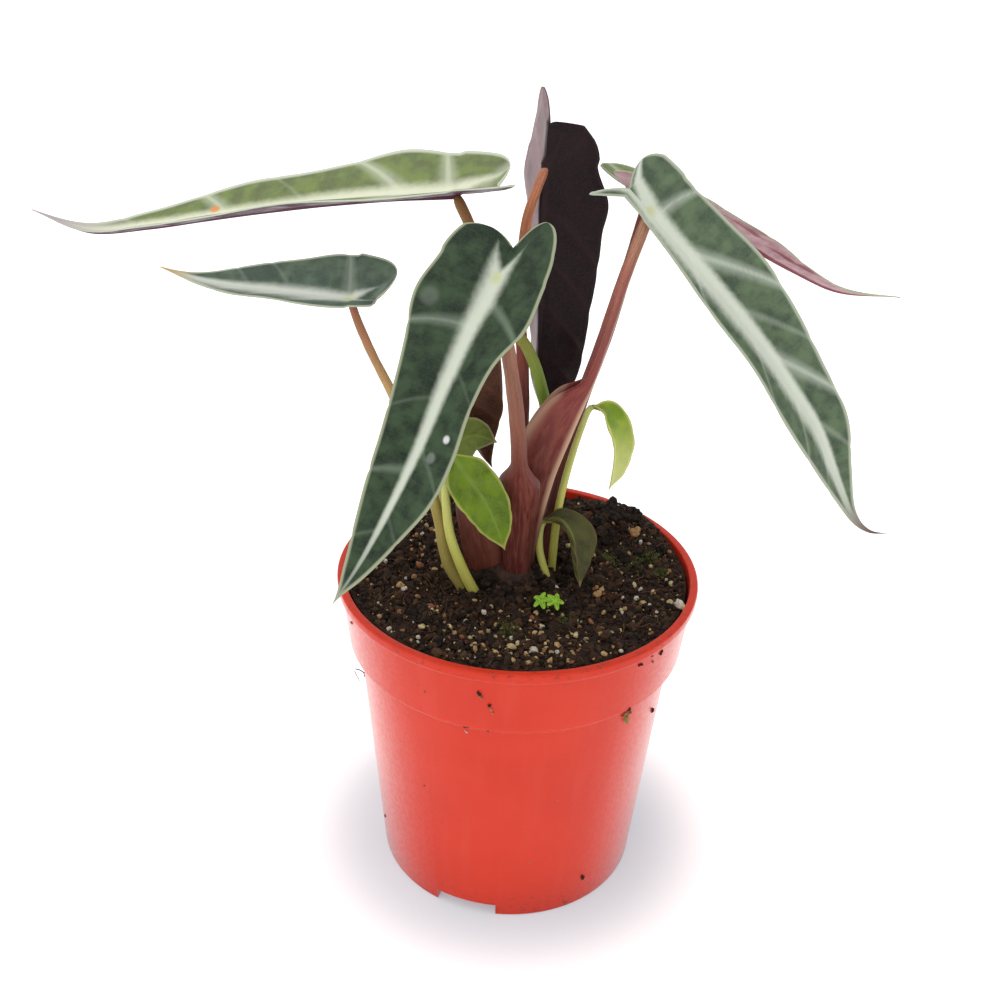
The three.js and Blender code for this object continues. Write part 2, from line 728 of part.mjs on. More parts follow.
const suckers = {
  front: {
    blade: {
      spine: [[-17, -10, 122.4], [-12.9, -11.6, 117.1], [-8.7, -12.5, 111.4], [-5.6, -13.3, 105.1],
        [-3.2, -14, 98.6]],
      faceBase: [0.1, -0.85, 0.5],
      faceTip: [0.1, -0.85, 0.5],
      right: [0, 5, 6, 5.4, 3.6, 0],
      left: [0, 5, 5.8, 5.4, 3.6, 0],
      foldRight: [14, 14],
      foldLeft: [14, 14],
    },
    stem: {
      path: [[-9.4, -11.4, 77], [-9.7, -11, 82.5], [-13.2, -11.4, 90.9], [-16.4, -11.6, 100.6],
        [-17.6, -11.4, 110.2], [-17.8, -11, 117.4], [-17, -10.4, 122.1]],
      base: 1.5,
      tip: 0.8,
    },
    color: '#7ea63a',
  },
  right: {
    blade: {
      spine: [[16.2, 9, 126.7], [20.4, 9, 125.4], [23.4, 8, 118.8], [23.4, 7, 111],
        [21.7, 6, 105.2]],
      faceBase: [0.3, -0.5, 0.8],
      faceTip: [0.6, -0.7, 0.3],
      right: [0, 3.4, 3, 2.2, 1.5, 0],
      left: [0, 3.4, 4, 3.9, 2.6, 0],
      foldRight: [24, 24],
      foldLeft: [24, 24],
    },
    stem: {
      path: [[8.2, 1.4, 77], [8.4, 1.8, 84.5], [9.2, 3.4, 99], [11, 5.2, 110], [13.8, 7.2, 121],
        [16.2, 9, 126.4]],
      base: 1.2,
      tip: 0.7,
    },
    color: '#8fb548',
  },
  low: {
    blade: {
      spine: [[5.4, 1.5, 98.6], [9.6, -0.8, 100.2], [12.8, -4, 97.9], [14.1, -7.8, 93],
        [15.4, -10.6, 87]],
      faceBase: [0.3, -0.4, 0.9],
      faceTip: [0.8, -0.5, 0.3],
      right: [0, 3.4, 4.4, 4.2, 2.8, 0],
      left: [0, 4, 6.4, 6.6, 4.4, 0],
      foldRight: [56, 56],
      foldLeft: [14, 14],
    },
    stem: {
      path: [[7.6, -3.6, 77], [7.4, -3.4, 83.8], [5.2, -1, 91.3], [5.5, 1.3, 97.4]],
      base: 1.1,
      tip: 0.8,
    },
    color: '#4d5c45',
  },
  back: {
    blade: {
      spine: [[-19, 4.4, 112.4], [-16, 4.6, 117.2], [-11.6, 4.4, 119.4], [-6.2, 3.4, 118.4]],
      faceBase: [0.2, -0.8, 0.5],
      faceTip: [0.2, -0.8, 0.5],
      right: [0, 4.4, 5.2, 4.8, 3, 0],
      left: [0, 4.4, 5.2, 4.8, 3, 0],
      foldRight: [16, 16],
      foldLeft: [16, 16],
    },
    stem: {
      path: [[-13.5, -2.4, 77], [-14.6, -2, 84], [-18, -1, 94], [-20, 1, 104], [-19, 4.2, 112.2]],
      base: 1.1,
      tip: 0.8,
    },
    color: '#5d7a45',
  },
};

const suckerRib = 0.16;

const smallBlade = {
  small: true,
  lobe: 0,
  sinus: 0,
  lobeSpread: [0, 0],
  lobeRise: 0,
  lobeStretch: [1, 1],
  lobeSplay: [0, 0],
  curl: 0.3,
  wave: 0.3,
  waves: 2,
  wavePhase: 0,
};

function suckerSolid(sucker, grow = 0) {
  const leaf = { ...smallBlade, ...sucker.blade };
  const rib = spineOf(leaf).getPointAt(suckerRib).toArray();
  const path = [...sucker.stem.path, rib];
  const stem = stalkGeometry({ ...sucker.stem, path, sides: 8, rings: 10, outward: [0, -1, 0] }, grow);
  return solidOf(stem).add(solidOf(bladeGeometry(leaf, grow)));
}

// The seedling: two lobed seed leaves on a short stem

function seedlingSolid(grow = 0) {
  const outline = new THREE.Shape();
  const points = 20;
  for (let i = 0; i < points; i += 1) {
    const angle = (2 * Math.PI * i) / points;
    const radius = 2.4 + 0.7 * Math.cos(5 * angle) + grow;
    const at = [radius * Math.cos(angle), radius * Math.sin(angle)];
    if (i === 0) {
      outline.moveTo(...at);
    } else {
      outline.lineTo(...at);
    }
  }
  const thickness = 0.7 + 2 * grow;
  let plant = null;
  for (const side of [-1, 1]) {
    const leaf = new THREE.ExtrudeGeometry(outline, { depth: thickness, bevelEnabled: false });
    leaf.scale(0.72, 0.72, 1);
    leaf.translate(0, 0, -thickness / 2);
    leaf.rotateY(side * 0.3);
    leaf.rotateX(0.5);
    leaf.translate(side * 1.5, 0, 0);
    plant = plant ? plant.add(solidOf(leaf)) : solidOf(leaf);
  }
  const stem = stalkGeometry({
    path: [[0.2, 0.6, -7], [0, 0.3, -3], [0, 0, 0.2]],
    base: 0.6,
    tip: 0.6,
    sides: 6,
    rings: 3,
    outward: [0, -1, 0],
  }, grow);
  return plant.add(solidOf(stem)).translate(seedlingPlace);
}

// Assembly

const group = new THREE.Group();

function place(name, solid, color, roughness) {
  const material = new THREE.MeshStandardMaterial({ color, roughness, metalness: 0 });
  const mesh = new THREE.Mesh(geometryOf(solid), material);
  mesh.name = name;
  group.add(mesh);
}

const snake = (name) => name.replace(/[A-Z]/g, (letter) => `_${letter.toLowerCase()}`);

// Blades and stalks first. A stalk is cut clear of its own blade, the corm and the stalks before it.

const grownStalks = [];
const cormRoom = cormSolid(gap);

for (const [name, leaf] of Object.entries(leaves)) {
  place(`blade_${snake(name)}`, solidOf(bladeGeometry(leaf)), leaf.color, 0.5);
}

for (const [name, stalk] of Object.entries(stalks)) {
  const bladeRoom = solidOf(bladeGeometry(leaves[name], gap));
  const solid = clearOf(solidOf(stalkGeometry(stalk)), [bladeRoom, cormRoom, ...grownStalks]);
  place(`petiole_${snake(name)}`, solid, stalk.color, 0.45);
  grownStalks.push(solidOf(stalkGeometry(stalk, gap)));
}

for (const [name, sucker] of Object.entries(suckers)) {
  const solid = clearOf(suckerSolid(sucker), [cormRoom, ...grownStalks]);
  place(`sucker_leaf_${name}`, solid, sucker.color, 0.45);
  grownStalks.push(suckerSolid(sucker, gap));
}

place('seedling', seedlingSolid(), '#7cc043', 0.6);
place('corm', cormSolid(), '#5a3a28', 0.8);

const pot = potSolid();
place('pot', pot, '#d64a3a', 0.4);
place('soil', clearOf(soilSolid(), [cormRoom, ...grownStalks, seedlingSolid(gap)]), '#2a1f1a', 0.95);

// The origin goes below the middle of the whole plant's box

const middle = new THREE.Box3().setFromObject(group).getCenter(new THREE.Vector3());
group.position.set(-middle.x, -middle.y, 0);

export default group;
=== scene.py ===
# A small arrow-leaved alocasia in a red plastic nursery pot: skins, veins, soil and moss.
# Lengths in the dictionaries are millimetres from the pot's axis; toFrame() puts them in metres.
import math
import random
import bmesh
import bpy
import numpy as np
from mathutils import Matrix, Vector, noise


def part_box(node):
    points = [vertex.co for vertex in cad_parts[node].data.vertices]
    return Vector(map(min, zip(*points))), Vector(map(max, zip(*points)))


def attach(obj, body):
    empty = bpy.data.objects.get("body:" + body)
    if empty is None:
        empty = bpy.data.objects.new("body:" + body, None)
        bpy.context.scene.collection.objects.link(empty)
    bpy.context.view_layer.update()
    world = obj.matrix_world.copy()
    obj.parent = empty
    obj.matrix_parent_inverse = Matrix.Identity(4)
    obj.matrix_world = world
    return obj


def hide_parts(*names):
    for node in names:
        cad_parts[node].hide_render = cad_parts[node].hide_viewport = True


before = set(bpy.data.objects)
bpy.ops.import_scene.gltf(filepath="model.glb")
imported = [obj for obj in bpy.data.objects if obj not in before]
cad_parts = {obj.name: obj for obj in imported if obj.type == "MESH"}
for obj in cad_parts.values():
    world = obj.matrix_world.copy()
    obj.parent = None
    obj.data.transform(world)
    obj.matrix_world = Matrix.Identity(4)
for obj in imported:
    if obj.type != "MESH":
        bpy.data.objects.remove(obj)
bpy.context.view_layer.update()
mm = 0.001

potLow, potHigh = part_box("pot")
potAxis = np.array([(potLow.x + potHigh.x) / 2, (potLow.y + potHigh.y) / 2, 0.0])
potHeight = potHigh.z / mm
rimRadius = (potHigh.x - potLow.x) / 2 / mm


def toFrame(points):
    return np.asarray(points, float) * mm + potAxis


# numbers, curves and seeded noise

def mix(a, b, t):
    return a + (b - a) * t


def smooth(t):
    c = np.clip(t, 0, 1)
    return c * c * (3 - 2 * c)


def unit(v):
    return v / np.maximum(np.linalg.norm(v, axis=-1, keepdims=True), 1e-12)


def stations(values, q):  # a smooth value through evenly spaced stations
    values = np.asarray(values, float)
    last = len(values) - 1
    place = np.clip(q, 0, 1) * last
    i = np.minimum(np.floor(place).astype(int), last - 1)
    t = place - i
    a, b = values[np.maximum(i - 1, 0)], values[i]
    c, d = values[i + 1], values[np.minimum(i + 2, last)]
    cubic = (-a + 3 * b - 3 * c + d) * t ** 3 + (2 * a - 5 * b + 4 * c - d) * t ** 2
    return np.maximum(0.5 * (2 * b + (c - a) * t + cubic), 0)


def smoothLine(points):  # a smooth curve through points, read by its share of length
    p = np.asarray(points, float)
    p = np.vstack([2 * p[0] - p[1], p, 2 * p[-1] - p[-2]])
    t = np.linspace(0, 1, 48, endpoint=False)[:, None]
    placed, headed = [], []
    for a, b, c, d in zip(p[:-3], p[1:-2], p[2:-1], p[3:]):
        placed.append(0.5 * (2 * b + (c - a) * t + (2 * a - 5 * b + 4 * c - d) * t ** 2
                             + (-a + 3 * b - 3 * c + d) * t ** 3))
        headed.append(0.5 * ((c - a) + 2 * (2 * a - 5 * b + 4 * c - d) * t
                             + 3 * (-a + 3 * b - 3 * c + d) * t ** 2))
    placed.append(p[-2][None, :])
    headed.append((p[-1] - p[-3])[None, :] / 2)
    placed, headed = np.vstack(placed), np.vstack(headed)
    run = np.concatenate([[0], np.cumsum(np.linalg.norm(np.diff(placed, axis=0), axis=1))])
    return {"points": placed, "heads": unit(headed), "share": run / run[-1], "length": run[-1]}


def onLine(line, share):
    point = [np.interp(share, line["share"], line["points"][:, k]) for k in range(3)]
    head = [np.interp(share, line["share"], line["heads"][:, k]) for k in range(3)]
    return np.stack(point, -1), unit(np.stack(head, -1))


def ruffle(points, scale, octaves=3, shift=0.0):  # fractal noise at each point, about -1 to 1
    total = np.zeros(len(points))
    for k, p in enumerate(points):
        v = Vector((p[0] * scale + shift, p[1] * scale - shift, p[2] * scale))
        total[k] = noise.fractal(v, 1.0, 2.1, octaves)
    return total


# meshes

def meshOf(name, points, faces, materials, slots=None, marks=None, rounded=True):
    mesh = bpy.data.meshes.new(name)
    mesh.from_pydata(toFrame(points).tolist(), [], faces)
    for material in materials:
        mesh.materials.append(material)
    if slots is not None:
        mesh.polygons.foreach_set("material_index", np.asarray(slots, np.int32))
    for label, values in (marks or {}).items():
        layer = mesh.attributes.new(label, "FLOAT_VECTOR", "POINT")
        layer.data.foreach_set("vector", np.asarray(values, np.float32).ravel())
    mesh.polygons.foreach_set("use_smooth", np.full(len(mesh.polygons), rounded))
    mesh.update()
    return mesh


def weld(mesh, distance=2e-6):  # joins points that lie closer than that, in metres
    bm = bmesh.new()
    bm.from_mesh(mesh)
    bmesh.ops.remove_doubles(bm, verts=bm.verts, dist=distance)
    bmesh.ops.recalc_face_normals(bm, faces=bm.faces)
    bm.to_mesh(mesh)
    bm.free()
    return mesh


def addPiece(name, mesh, slot, *nodes):
    piece = bpy.data.objects.new(name, mesh)
    bpy.context.scene.collection.objects.link(piece)
    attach(piece, "root")
    if nodes:
        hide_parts(*nodes)


def gridFaces(rows, columns, start, flip=False):
    i, j = np.meshgrid(np.arange(rows - 1), np.arange(columns - 1), indexing="ij")
    a = (start + i * columns + j).ravel()
    quads = np.stack([a, a + 1, a + columns + 1, a + columns], -1)
    return (quads[:, ::-1] if flip else quads).tolist()


# camera, light and floor

view = {"eye": (0, -297.2, 272.0), "tilt": 60.58, "turn": 0.976, "roll": 2.03, "lens": 50.4}

lens = bpy.data.cameras.new("camera")
lens.lens = view["lens"]
lens.sensor_width = 36
camera = bpy.data.objects.new("camera", lens)
turned = Matrix.Rotation(math.radians(view["turn"]), 4, "Z")
tilted = Matrix.Rotation(math.radians(view["tilt"]), 4, "X")
rolled = Matrix.Rotation(math.radians(view["roll"]), 4, "Z")
camera.matrix_world = Matrix.Translation(toFrame(view["eye"])) @ turned @ tilted @ rolled
bpy.context.scene.collection.objects.link(camera)
bpy.context.scene.camera = camera
bpy.context.scene.view_settings.view_transform = "Standard"

light = {"sky": 0.78, "sun": 1.15, "softness": 75, "from": (-120, -60, 400)}

world = bpy.data.worlds.new("studio")
bpy.context.scene.world = world
world.use_nodes = True
background = world.node_tree.nodes["Background"].inputs
background["Color"].default_value = (1, 1, 1, 1)
lightPath = world.node_tree.nodes.new("ShaderNodeLightPath")  # the backdrop itself shows white
skyLevel = world.node_tree.nodes.new("ShaderNodeMapRange")
skyLevel.inputs["To Min"].default_value = light["sky"]
world.node_tree.links.new(lightPath.outputs["Is Camera Ray"], skyLevel.inputs["Value"])
world.node_tree.links.new(skyLevel.outputs["Result"], background["Strength"])

softbox = bpy.data.lights.new("softbox", "SUN")
softbox.energy = light["sun"]
softbox.angle = math.radians(light["softness"])
lamp = bpy.data.objects.new("softbox", softbox)
lamp.rotation_euler = (-Vector(light["from"])).to_track_quat("-Z", "Y").to_euler()
bpy.context.scene.collection.objects.link(lamp)
print("camera and light ready")


# node helpers and shared effects

def put(tree, kind, inputs=None, **settings):
    node = tree.nodes.new(kind)
    for key, value in settings.items():
        setattr(node, key, value)
    for key, value in (inputs or {}).items():
        if isinstance(value, bpy.types.NodeSocket):
            tree.links.new(value, node.inputs[key])
        else:
            node.inputs[key].default_value = value
    return node


def math2(tree, operation, a, b=0.0):
    return put(tree, "ShaderNodeMath", {0: a, 1: b}, operation=operation).outputs[0]


def ramp(tree, value, low, high, out=(0.0, 1.0)):  # a soft step from low to high
    inputs = {"Value": value, "From Min": low, "From Max": high, "To Min": out[0], "To Max": out[1]}
    return put(tree, "ShaderNodeMapRange", inputs, interpolation_type="SMOOTHSTEP").outputs[0]


def blendColor(tree, share, a, b):
    inputs = {0: share, 6: (*a, 1) if isinstance(a, tuple) else a, 7: (*b, 1) if isinstance(b, tuple) else b}
    return put(tree, "ShaderNodeMix", inputs, data_type="RGBA").outputs[2]


def wash(tree, skin, mask, share, color):  # lays a color over the skin where the mask is
    return blendColor(tree, math2(tree, "MULTIPLY", mask, share), skin, color)


def readMark(tree, name):  # what the mesh keeps under that name, at each of its points
    return put(tree, "ShaderNodeAttribute", attribute_name=name).outputs["Vector"]


def partsOf(tree, vector):
    return put(tree, "ShaderNodeSeparateXYZ", {"Vector": vector}).outputs


def objectPlace(tree):
    return put(tree, "ShaderNodeTexCoord").outputs["Object"]


def newGroup(name, takes, gives):
    group = bpy.data.node_groups.new(name, "ShaderNodeTree")
    for label, kind, value in takes:
        socket = group.interface.new_socket(name=label, in_out="INPUT", socket_type=f"NodeSocket{kind}")
        socket.default_value = value
    for label, kind in gives:
        group.interface.new_socket(name=label, in_out="OUTPUT", socket_type=f"NodeSocket{kind}")
    return group, group.nodes.new("NodeGroupInput").outputs, group.nodes.new("NodeGroupOutput").inputs


def useGroup(tree, group, **inputs):
    node = put(tree, "ShaderNodeGroup", node_tree=group)
    for key, value in inputs.items():
        socket = node.inputs[key]
        if isinstance(value, bpy.types.NodeSocket):
            tree.links.new(value, socket)
        else:
            socket.default_value = (*value, 1) if isinstance(value, tuple) and len(value) == 3 else value
    return node.outputs


def makeMottle():  # soft blotches and fine specks, each a mask from 0 to 1
    group, takes, gives = newGroup("mottle", [("Scale", "Float", 300.0), ("Speck", "Float", 2200.0)],
                                   [("Blotch", "Float"), ("Speckle", "Float")])
    place = objectPlace(group)
    wide = put(group, "ShaderNodeTexNoise", {"Vector": place, "Scale": takes["Scale"], "Detail": 4.0})
    fine = put(group, "ShaderNodeTexNoise", {"Vector": place, "Scale": takes["Speck"], "Detail": 2.0})
    group.links.new(ramp(group, wide.outputs["Fac"], 0.32, 0.68), gives["Blotch"])
    group.links.new(ramp(group, fine.outputs["Fac"], 0.35, 0.65), gives["Speckle"])
    return group


def makeLeafMarks():  # silver rib, side veins, margin, tip and heel, read from the leaf's own marks
    group, takes, gives = newGroup("leafMarks", [("Feather", "Float", 0.35), ("TipFrom", "Float", 0.9),
                                                 ("LobeFade", "Float", 9.0), ("RibEnd", "Float", 2.0),
                                                 ("RimWidth", "Float", 0.85)],
                                   [("Rib", "Float"), ("Vein", "Float"), ("Rim", "Float"),
                                    ("Fine", "Float"), ("Tip", "Float"), ("Heel", "Float")])
    lay = readMark(group, "lay")
    mark = partsOf(group, readMark(group, "marks"))
    at = partsOf(group, lay)
    rough = put(group, "ShaderNodeTexNoise", {"Vector": lay, "Scale": 0.8, "Detail": 4.0}).outputs["Fac"]
    stray = math2(group, "MULTIPLY", math2(group, "SUBTRACT", rough, 0.5), 0.35)
    lobeward = math2(group, "MULTIPLY", math2(group, "MINIMUM", at["Z"], 0.0), takes["LobeFade"])
    ribAt = math2(group, "ABSOLUTE", mark["X"])
    ribAt = math2(group, "ADD", ribAt, math2(group, "SUBTRACT", stray, lobeward))
    outer = math2(group, "ADD", takes["Feather"], 1.0)
    inner = math2(group, "SUBTRACT", 0.85, takes["Feather"])
    fade = ramp(group, at["Z"], takes["RibEnd"], math2(group, "SUBTRACT", takes["RibEnd"], 0.4), (0.2, 1.0))
    group.links.new(math2(group, "MULTIPLY", ramp(group, ribAt, outer, inner), fade), gives["Rib"])
    core = ramp(group, mark["Y"], 1.0, 0.15)
    halo = ramp(group, math2(group, "ADD", mark["Y"], stray), 3.2, 0.4)
    vein = math2(group, "ADD", math2(group, "MULTIPLY", core, 0.4), math2(group, "MULTIPLY", halo, 0.6))
    group.links.new(vein, gives["Vein"])
    rimInside = math2(group, "MULTIPLY", takes["RimWidth"], 0.3)
    group.links.new(ramp(group, mark["Z"], takes["RimWidth"], rimInside), gives["Rim"])
    slanted = put(group, "ShaderNodeMapping",
                  {"Vector": lay, "Rotation": (0, 0, 0.7), "Scale": (1.5, 0.12, 0)}).outputs["Vector"]
    fine = put(group, "ShaderNodeTexNoise", {"Vector": slanted, "Scale": 1.0, "Detail": 4.0})
    group.links.new(ramp(group, fine.outputs["Fac"], 0.48, 0.66), gives["Fine"])
    group.links.new(ramp(group, at["Z"], takes["TipFrom"], 1.0), gives["Tip"])
    flat = put(group, "ShaderNodeVectorMath", {0: lay, 1: (1, 1, 0)}, operation="MULTIPLY").outputs["Vector"]
    reach = put(group, "ShaderNodeVectorMath", {0: flat}, operation="LENGTH").outputs["Value"]
    group.links.new(ramp(group, reach, 2.0, 0.2), gives["Heel"])
    return group


def makeStreaks():  # fine lines that run along a stalk
    group, takes, gives = newGroup("streaks", [("Scale", "Float", 1.0)],
                                   [("Line", "Float"), ("Patch", "Float")])
    grain = readMark(group, "grain")
    line = put(group, "ShaderNodeTexNoise", {"Vector": grain, "Scale": takes["Scale"], "Detail": 3.0})
    patch = put(group, "ShaderNodeTexNoise", {"Vector": grain, "Scale": 0.35, "Detail": 2.0})
    group.links.new(ramp(group, line.outputs["Fac"], 0.36, 0.64), gives["Line"])
    group.links.new(ramp(group, patch.outputs["Fac"], 0.3, 0.7), gives["Patch"])
    return group


mottle = makeMottle()
leafMarks = makeLeafMarks()
streaks = makeStreaks()


def newMaterial(name):
    material = bpy.data.materials.new(name)
    material.use_nodes = True
    return material, material.node_tree, material.node_tree.nodes["Principled BSDF"]


def addBump(tree, shader, height, strength, distance):
    bump = put(tree, "ShaderNodeBump", {"Height": height, "Strength": strength, "Distance": distance})
    tree.links.new(bump.outputs["Normal"], shader.inputs["Normal"])


topDefaults = {"feather": 0.35, "tipFrom": 0.9, "lobeFade": 9.0, "ribEnd": 2.0, "rimWidth": 0.85,
               "fine": 0.02, "veins": 0.7, "ribs": 0.95, "rims": 0.85, "tips": 0.6, "heels": 0.55,
               "rough": (0.42, 0.55), "shine": 0.12, "scars": []}
underDefaults = {"veins": 0.5, "ribs": 0.5, "rims": 0.6, "rough": (0.36, 0.5), "shine": 0.12, "feather": 0.2,
                 "speckOfDust": (0.7, 0.62, 0.62)}


def leafTop(name, look):
    look = {**topDefaults, **look}
    material, tree, shader = newMaterial(name)
    spots = useGroup(tree, mottle, Scale=260.0, Speck=2600.0)
    marks = useGroup(tree, leafMarks, Feather=look["feather"], TipFrom=look["tipFrom"],
                     LobeFade=look["lobeFade"], RibEnd=look["ribEnd"], RimWidth=look["rimWidth"])
    skin = blendColor(tree, spots["Blotch"], look["dark"], look["green"])
    skin = wash(tree, skin, spots["Speckle"], 0.35, look["fleck"])
    for mask, share, color in (("Fine", "fine", "vein"), ("Vein", "veins", "vein"), ("Rib", "ribs", "silver"),
                               ("Rim", "rims", "rim"), ("Tip", "tips", "tip"), ("Heel", "heels", "heel")):
        skin = wash(tree, skin, marks[mask], look[share], look[color])
    flat = put(tree, "ShaderNodeVectorMath", {0: readMark(tree, "lay"), 1: (1, 1, 0)}, operation="MULTIPLY")
    for along, across, size, share, color in look["scars"]:
        away = put(tree, "ShaderNodeVectorMath", {0: flat.outputs["Vector"], 1: (along, across, 0)},
                   operation="DISTANCE").outputs["Value"]
        skin = blendColor(tree, ramp(tree, away, size, size * 0.4, (0.0, share)), skin, color)
    tree.links.new(skin, shader.inputs["Base Color"])
    tree.links.new(ramp(tree, spots["Blotch"], 0, 1, look["rough"]), shader.inputs["Roughness"])
    shader.inputs["Specular IOR Level"].default_value = look["shine"]
    raised = math2(tree, "SUBTRACT", math2(tree, "MULTIPLY", spots["Speckle"], 0.25), marks["Vein"])
    raised = math2(tree, "SUBTRACT", raised, math2(tree, "MULTIPLY", marks["Fine"], 0.1))
    addBump(tree, shader, raised, 0.35, 0.00015)
    return material


def leafUnder(name, look):
    look = {**underDefaults, **look}
    material, tree, shader = newMaterial(name)
    spots = useGroup(tree, mottle, Scale=220.0, Speck=2400.0)
    marks = useGroup(tree, leafMarks, Feather=look["feather"])
    skin = blendColor(tree, spots["Blotch"], look["dark"], look["skin"])
    skin = wash(tree, skin, spots["Speckle"], 0.3, look["fleck"])
    for mask, share, color in (("Vein", "veins", "vein"), ("Rib", "ribs", "rib"), ("Rim", "rims", "rim")):
        skin = wash(tree, skin, marks[mask], look[share], look[color])
    if "streaks" in look:  # darker bands that run to the tip
        drawn = put(tree, "ShaderNodeMapping", {"Vector": readMark(tree, "lay"), "Scale": (0.05, 0.42, 0)})
        bands = put(tree, "ShaderNodeTexNoise", {"Vector": drawn.outputs["Vector"], "Scale": 1.0,
                                                 "Detail": 3.0}).outputs["Fac"]
        skin = wash(tree, skin, ramp(tree, bands, 0.48, 0.64), look["streaks"], look["rib"])
    if "dust" in look:
        cells = put(tree, "ShaderNodeTexVoronoi", {"Vector": objectPlace(tree), "Scale": 170.0}).outputs
        chosen = ramp(tree, partsOf(tree, cells["Color"])["X"], 0.72, 0.9)
        dot = math2(tree, "MULTIPLY", ramp(tree, cells["Distance"], 0.07, 0.03), chosen)
        skin = wash(tree, skin, dot, look["dust"], look["speckOfDust"])
    if "paintedSheen" in look:  # painted sheen: a mauve wash on the half that turns to the light
        side = ramp(tree, partsOf(tree, readMark(tree, "lay"))["Y"], -0.6, -1.8)
        skin = wash(tree, skin, side, ramp(tree, spots["Blotch"], -1.0, 0.7, (0.25, 0.95)), look["paintedSheen"])
    tree.links.new(skin, shader.inputs["Base Color"])
    tree.links.new(ramp(tree, spots["Blotch"], 0, 1, look["rough"]), shader.inputs["Roughness"])
    shader.inputs["Specular IOR Level"].default_value = look["shine"]
    raised = math2(tree, "ADD", math2(tree, "MULTIPLY", spots["Speckle"], 0.3), marks["Vein"])
    addBump(tree, shader, raised, 0.35, 0.00015)
    return material


stalkDefaults = {"lines": 2.6, "streak": 0.4, "patch": 0.3, "wing": 0.7}


def stalkSkin(name, look):
    look = {**stalkDefaults, "edge": look["line"], **look}
    material, tree, shader = newMaterial(name)
    at = partsOf(tree, readMark(tree, "run"))
    shades = put(tree, "ShaderNodeValToRGB", {"Fac": at["X"]})
    points = shades.color_ramp.elements
    for number, (share, color) in enumerate(look["shades"]):
        point = points[number] if number < 2 else points.new(share)
        point.position = share
        point.color = (*color, 1)
    lines = useGroup(tree, streaks, Scale=look["lines"])
    spots = useGroup(tree, mottle, Scale=420.0, Speck=2600.0)
    skin = shades.outputs["Color"]
    skin = wash(tree, skin, lines["Line"], look["streak"], look["line"])
    skin = wash(tree, skin, lines["Patch"], look["patch"], look["shade"])
    skin = wash(tree, skin, spots["Speckle"], 0.15, look["shade"])
    if "flank" in look:  # painted highlight: a pale wash on the side that faces outwards, from low on the stalk up
        facing = ramp(tree, math2(tree, "COSINE", at["Z"]), 0.86, 0.995, (0.0, 0.8))
        skin = wash(tree, skin, facing, ramp(tree, at["X"], 0.05, 0.35), look["flank"])
    skin = wash(tree, skin, ramp(tree, at["Y"], 0.80, 0.97), look["wing"], look["edge"])
    tree.links.new(skin, shader.inputs["Base Color"])
    tree.links.new(ramp(tree, lines["Line"], 0, 1, (0.38, 0.52)), shader.inputs["Roughness"])
    shader.inputs["Specular IOR Level"].default_value = 0.2
    addBump(tree, shader, lines["Line"], 0.5, 0.00015)
    return material


# floor

# painted shadow round the pot: near and its glow are the floor's shaded colours, far and farGlow the open
# floor
card = {"near": (0.50, 0.50, 0.51), "far": (0.90, 0.90, 0.90), "paintedShadowGlow": (0.25, 0.31, 0.34),
        "farGlow": (0.42, 0.42, 0.42), "from": 36, "to": 66, "side": 4000, "below": -0.1}


def makeFloor():
    material, tree, shader = newMaterial("floorCard")
    spots = useGroup(tree, mottle, Scale=3.0, Speck=40.0)
    away = put(tree, "ShaderNodeVectorMath", {0: objectPlace(tree), 1: tuple(toFrame((0, 0, 0)))},
               operation="DISTANCE").outputs["Value"]
    clear = ramp(tree, away, card["from"] * mm, card["to"] * mm)  # painted shadow: the floor is darker and bluer near the pot, clear of it from 'from' to 'to'
    shade = wash(tree, blendColor(tree, clear, card["near"], card["far"]), spots["Blotch"], 0.1, card["far"])
    tree.links.new(shade, shader.inputs["Base Color"])
    # the glow also dims and turns bluer near the pot: painted shadow
    glow = blendColor(tree, clear, card["paintedShadowGlow"], card["farGlow"])
    tree.links.new(glow, shader.inputs["Emission Color"])
    shader.inputs["Emission Strength"].default_value = 1.0
    shader.inputs["Roughness"].default_value = 0.7
    shader.inputs["Specular IOR Level"].default_value = 0.2
    corners = [(x * card["side"], y * card["side"], card["below"])
               for x, y in ((-1, -1), (1, -1), (1, 1), (-1, 1))]
    floor = bpy.data.objects.new("floor", meshOf("floor", corners, [(0, 1, 2, 3)], [material]))
    bpy.context.scene.collection.objects.link(floor)


makeFloor()


# leaf blades: a spine from stalk to tip, half widths along it, and a fold angle for each half

blade = {"lobeRows": 26, "neckRows": 6, "bodyRows": 190, "columns": 24, "middle": 0.75, "edge": 0.3,
         "groove": 1.1, "ridge": 1.0, "dent": 0.16, "puff": 0.22, "scallop": 0.25, "veinWidth": 1}


def both(values):  # the same for the two halves of a leaf
    return {"right": values, "left": values}


darkTop = {"green": (0.046, 0.082, 0.041), "dark": (0.014, 0.028, 0.017), "fleck": (0.058, 0.064, 0.044),
           "vein": (0.28, 0.34, 0.26), "silver": (0.62, 0.66, 0.55), "tip": (0.34, 0.35, 0.25),
           "rim": (0.38, 0.41, 0.27), "heel": (0.50, 0.54, 0.14), "feather": 0.55}
paleTop = {**darkTop, "green": (0.20, 0.26, 0.09), "dark": (0.125, 0.17, 0.07), "fleck": (0.22, 0.19, 0.12),
           "vein": (0.50, 0.54, 0.40), "rim": (0.46, 0.50, 0.38), "silver": (0.76, 0.78, 0.60)}
wineUnder = {"skin": (0.16, 0.03, 0.06), "dark": (0.09, 0.016, 0.035), "fleck": (0.24, 0.08, 0.10),
             "vein": (0.28, 0.09, 0.10), "rib": (0.24, 0.06, 0.08), "rim": (0.40, 0.25, 0.25)}
nightUnder = {"skin": (0.015, 0.008, 0.009), "dark": (0.007, 0.004, 0.005), "fleck": (0.04, 0.02, 0.024),
              "vein": (0.03, 0.013, 0.015), "rib": (0.03, 0.014, 0.016), "rim": (0.04, 0.022, 0.022),
              # mauve: a painted sheen on the half of the underside that turns to the light
              "paintedSheen": (0.32, 0.22, 0.235), "dust": 0.8}

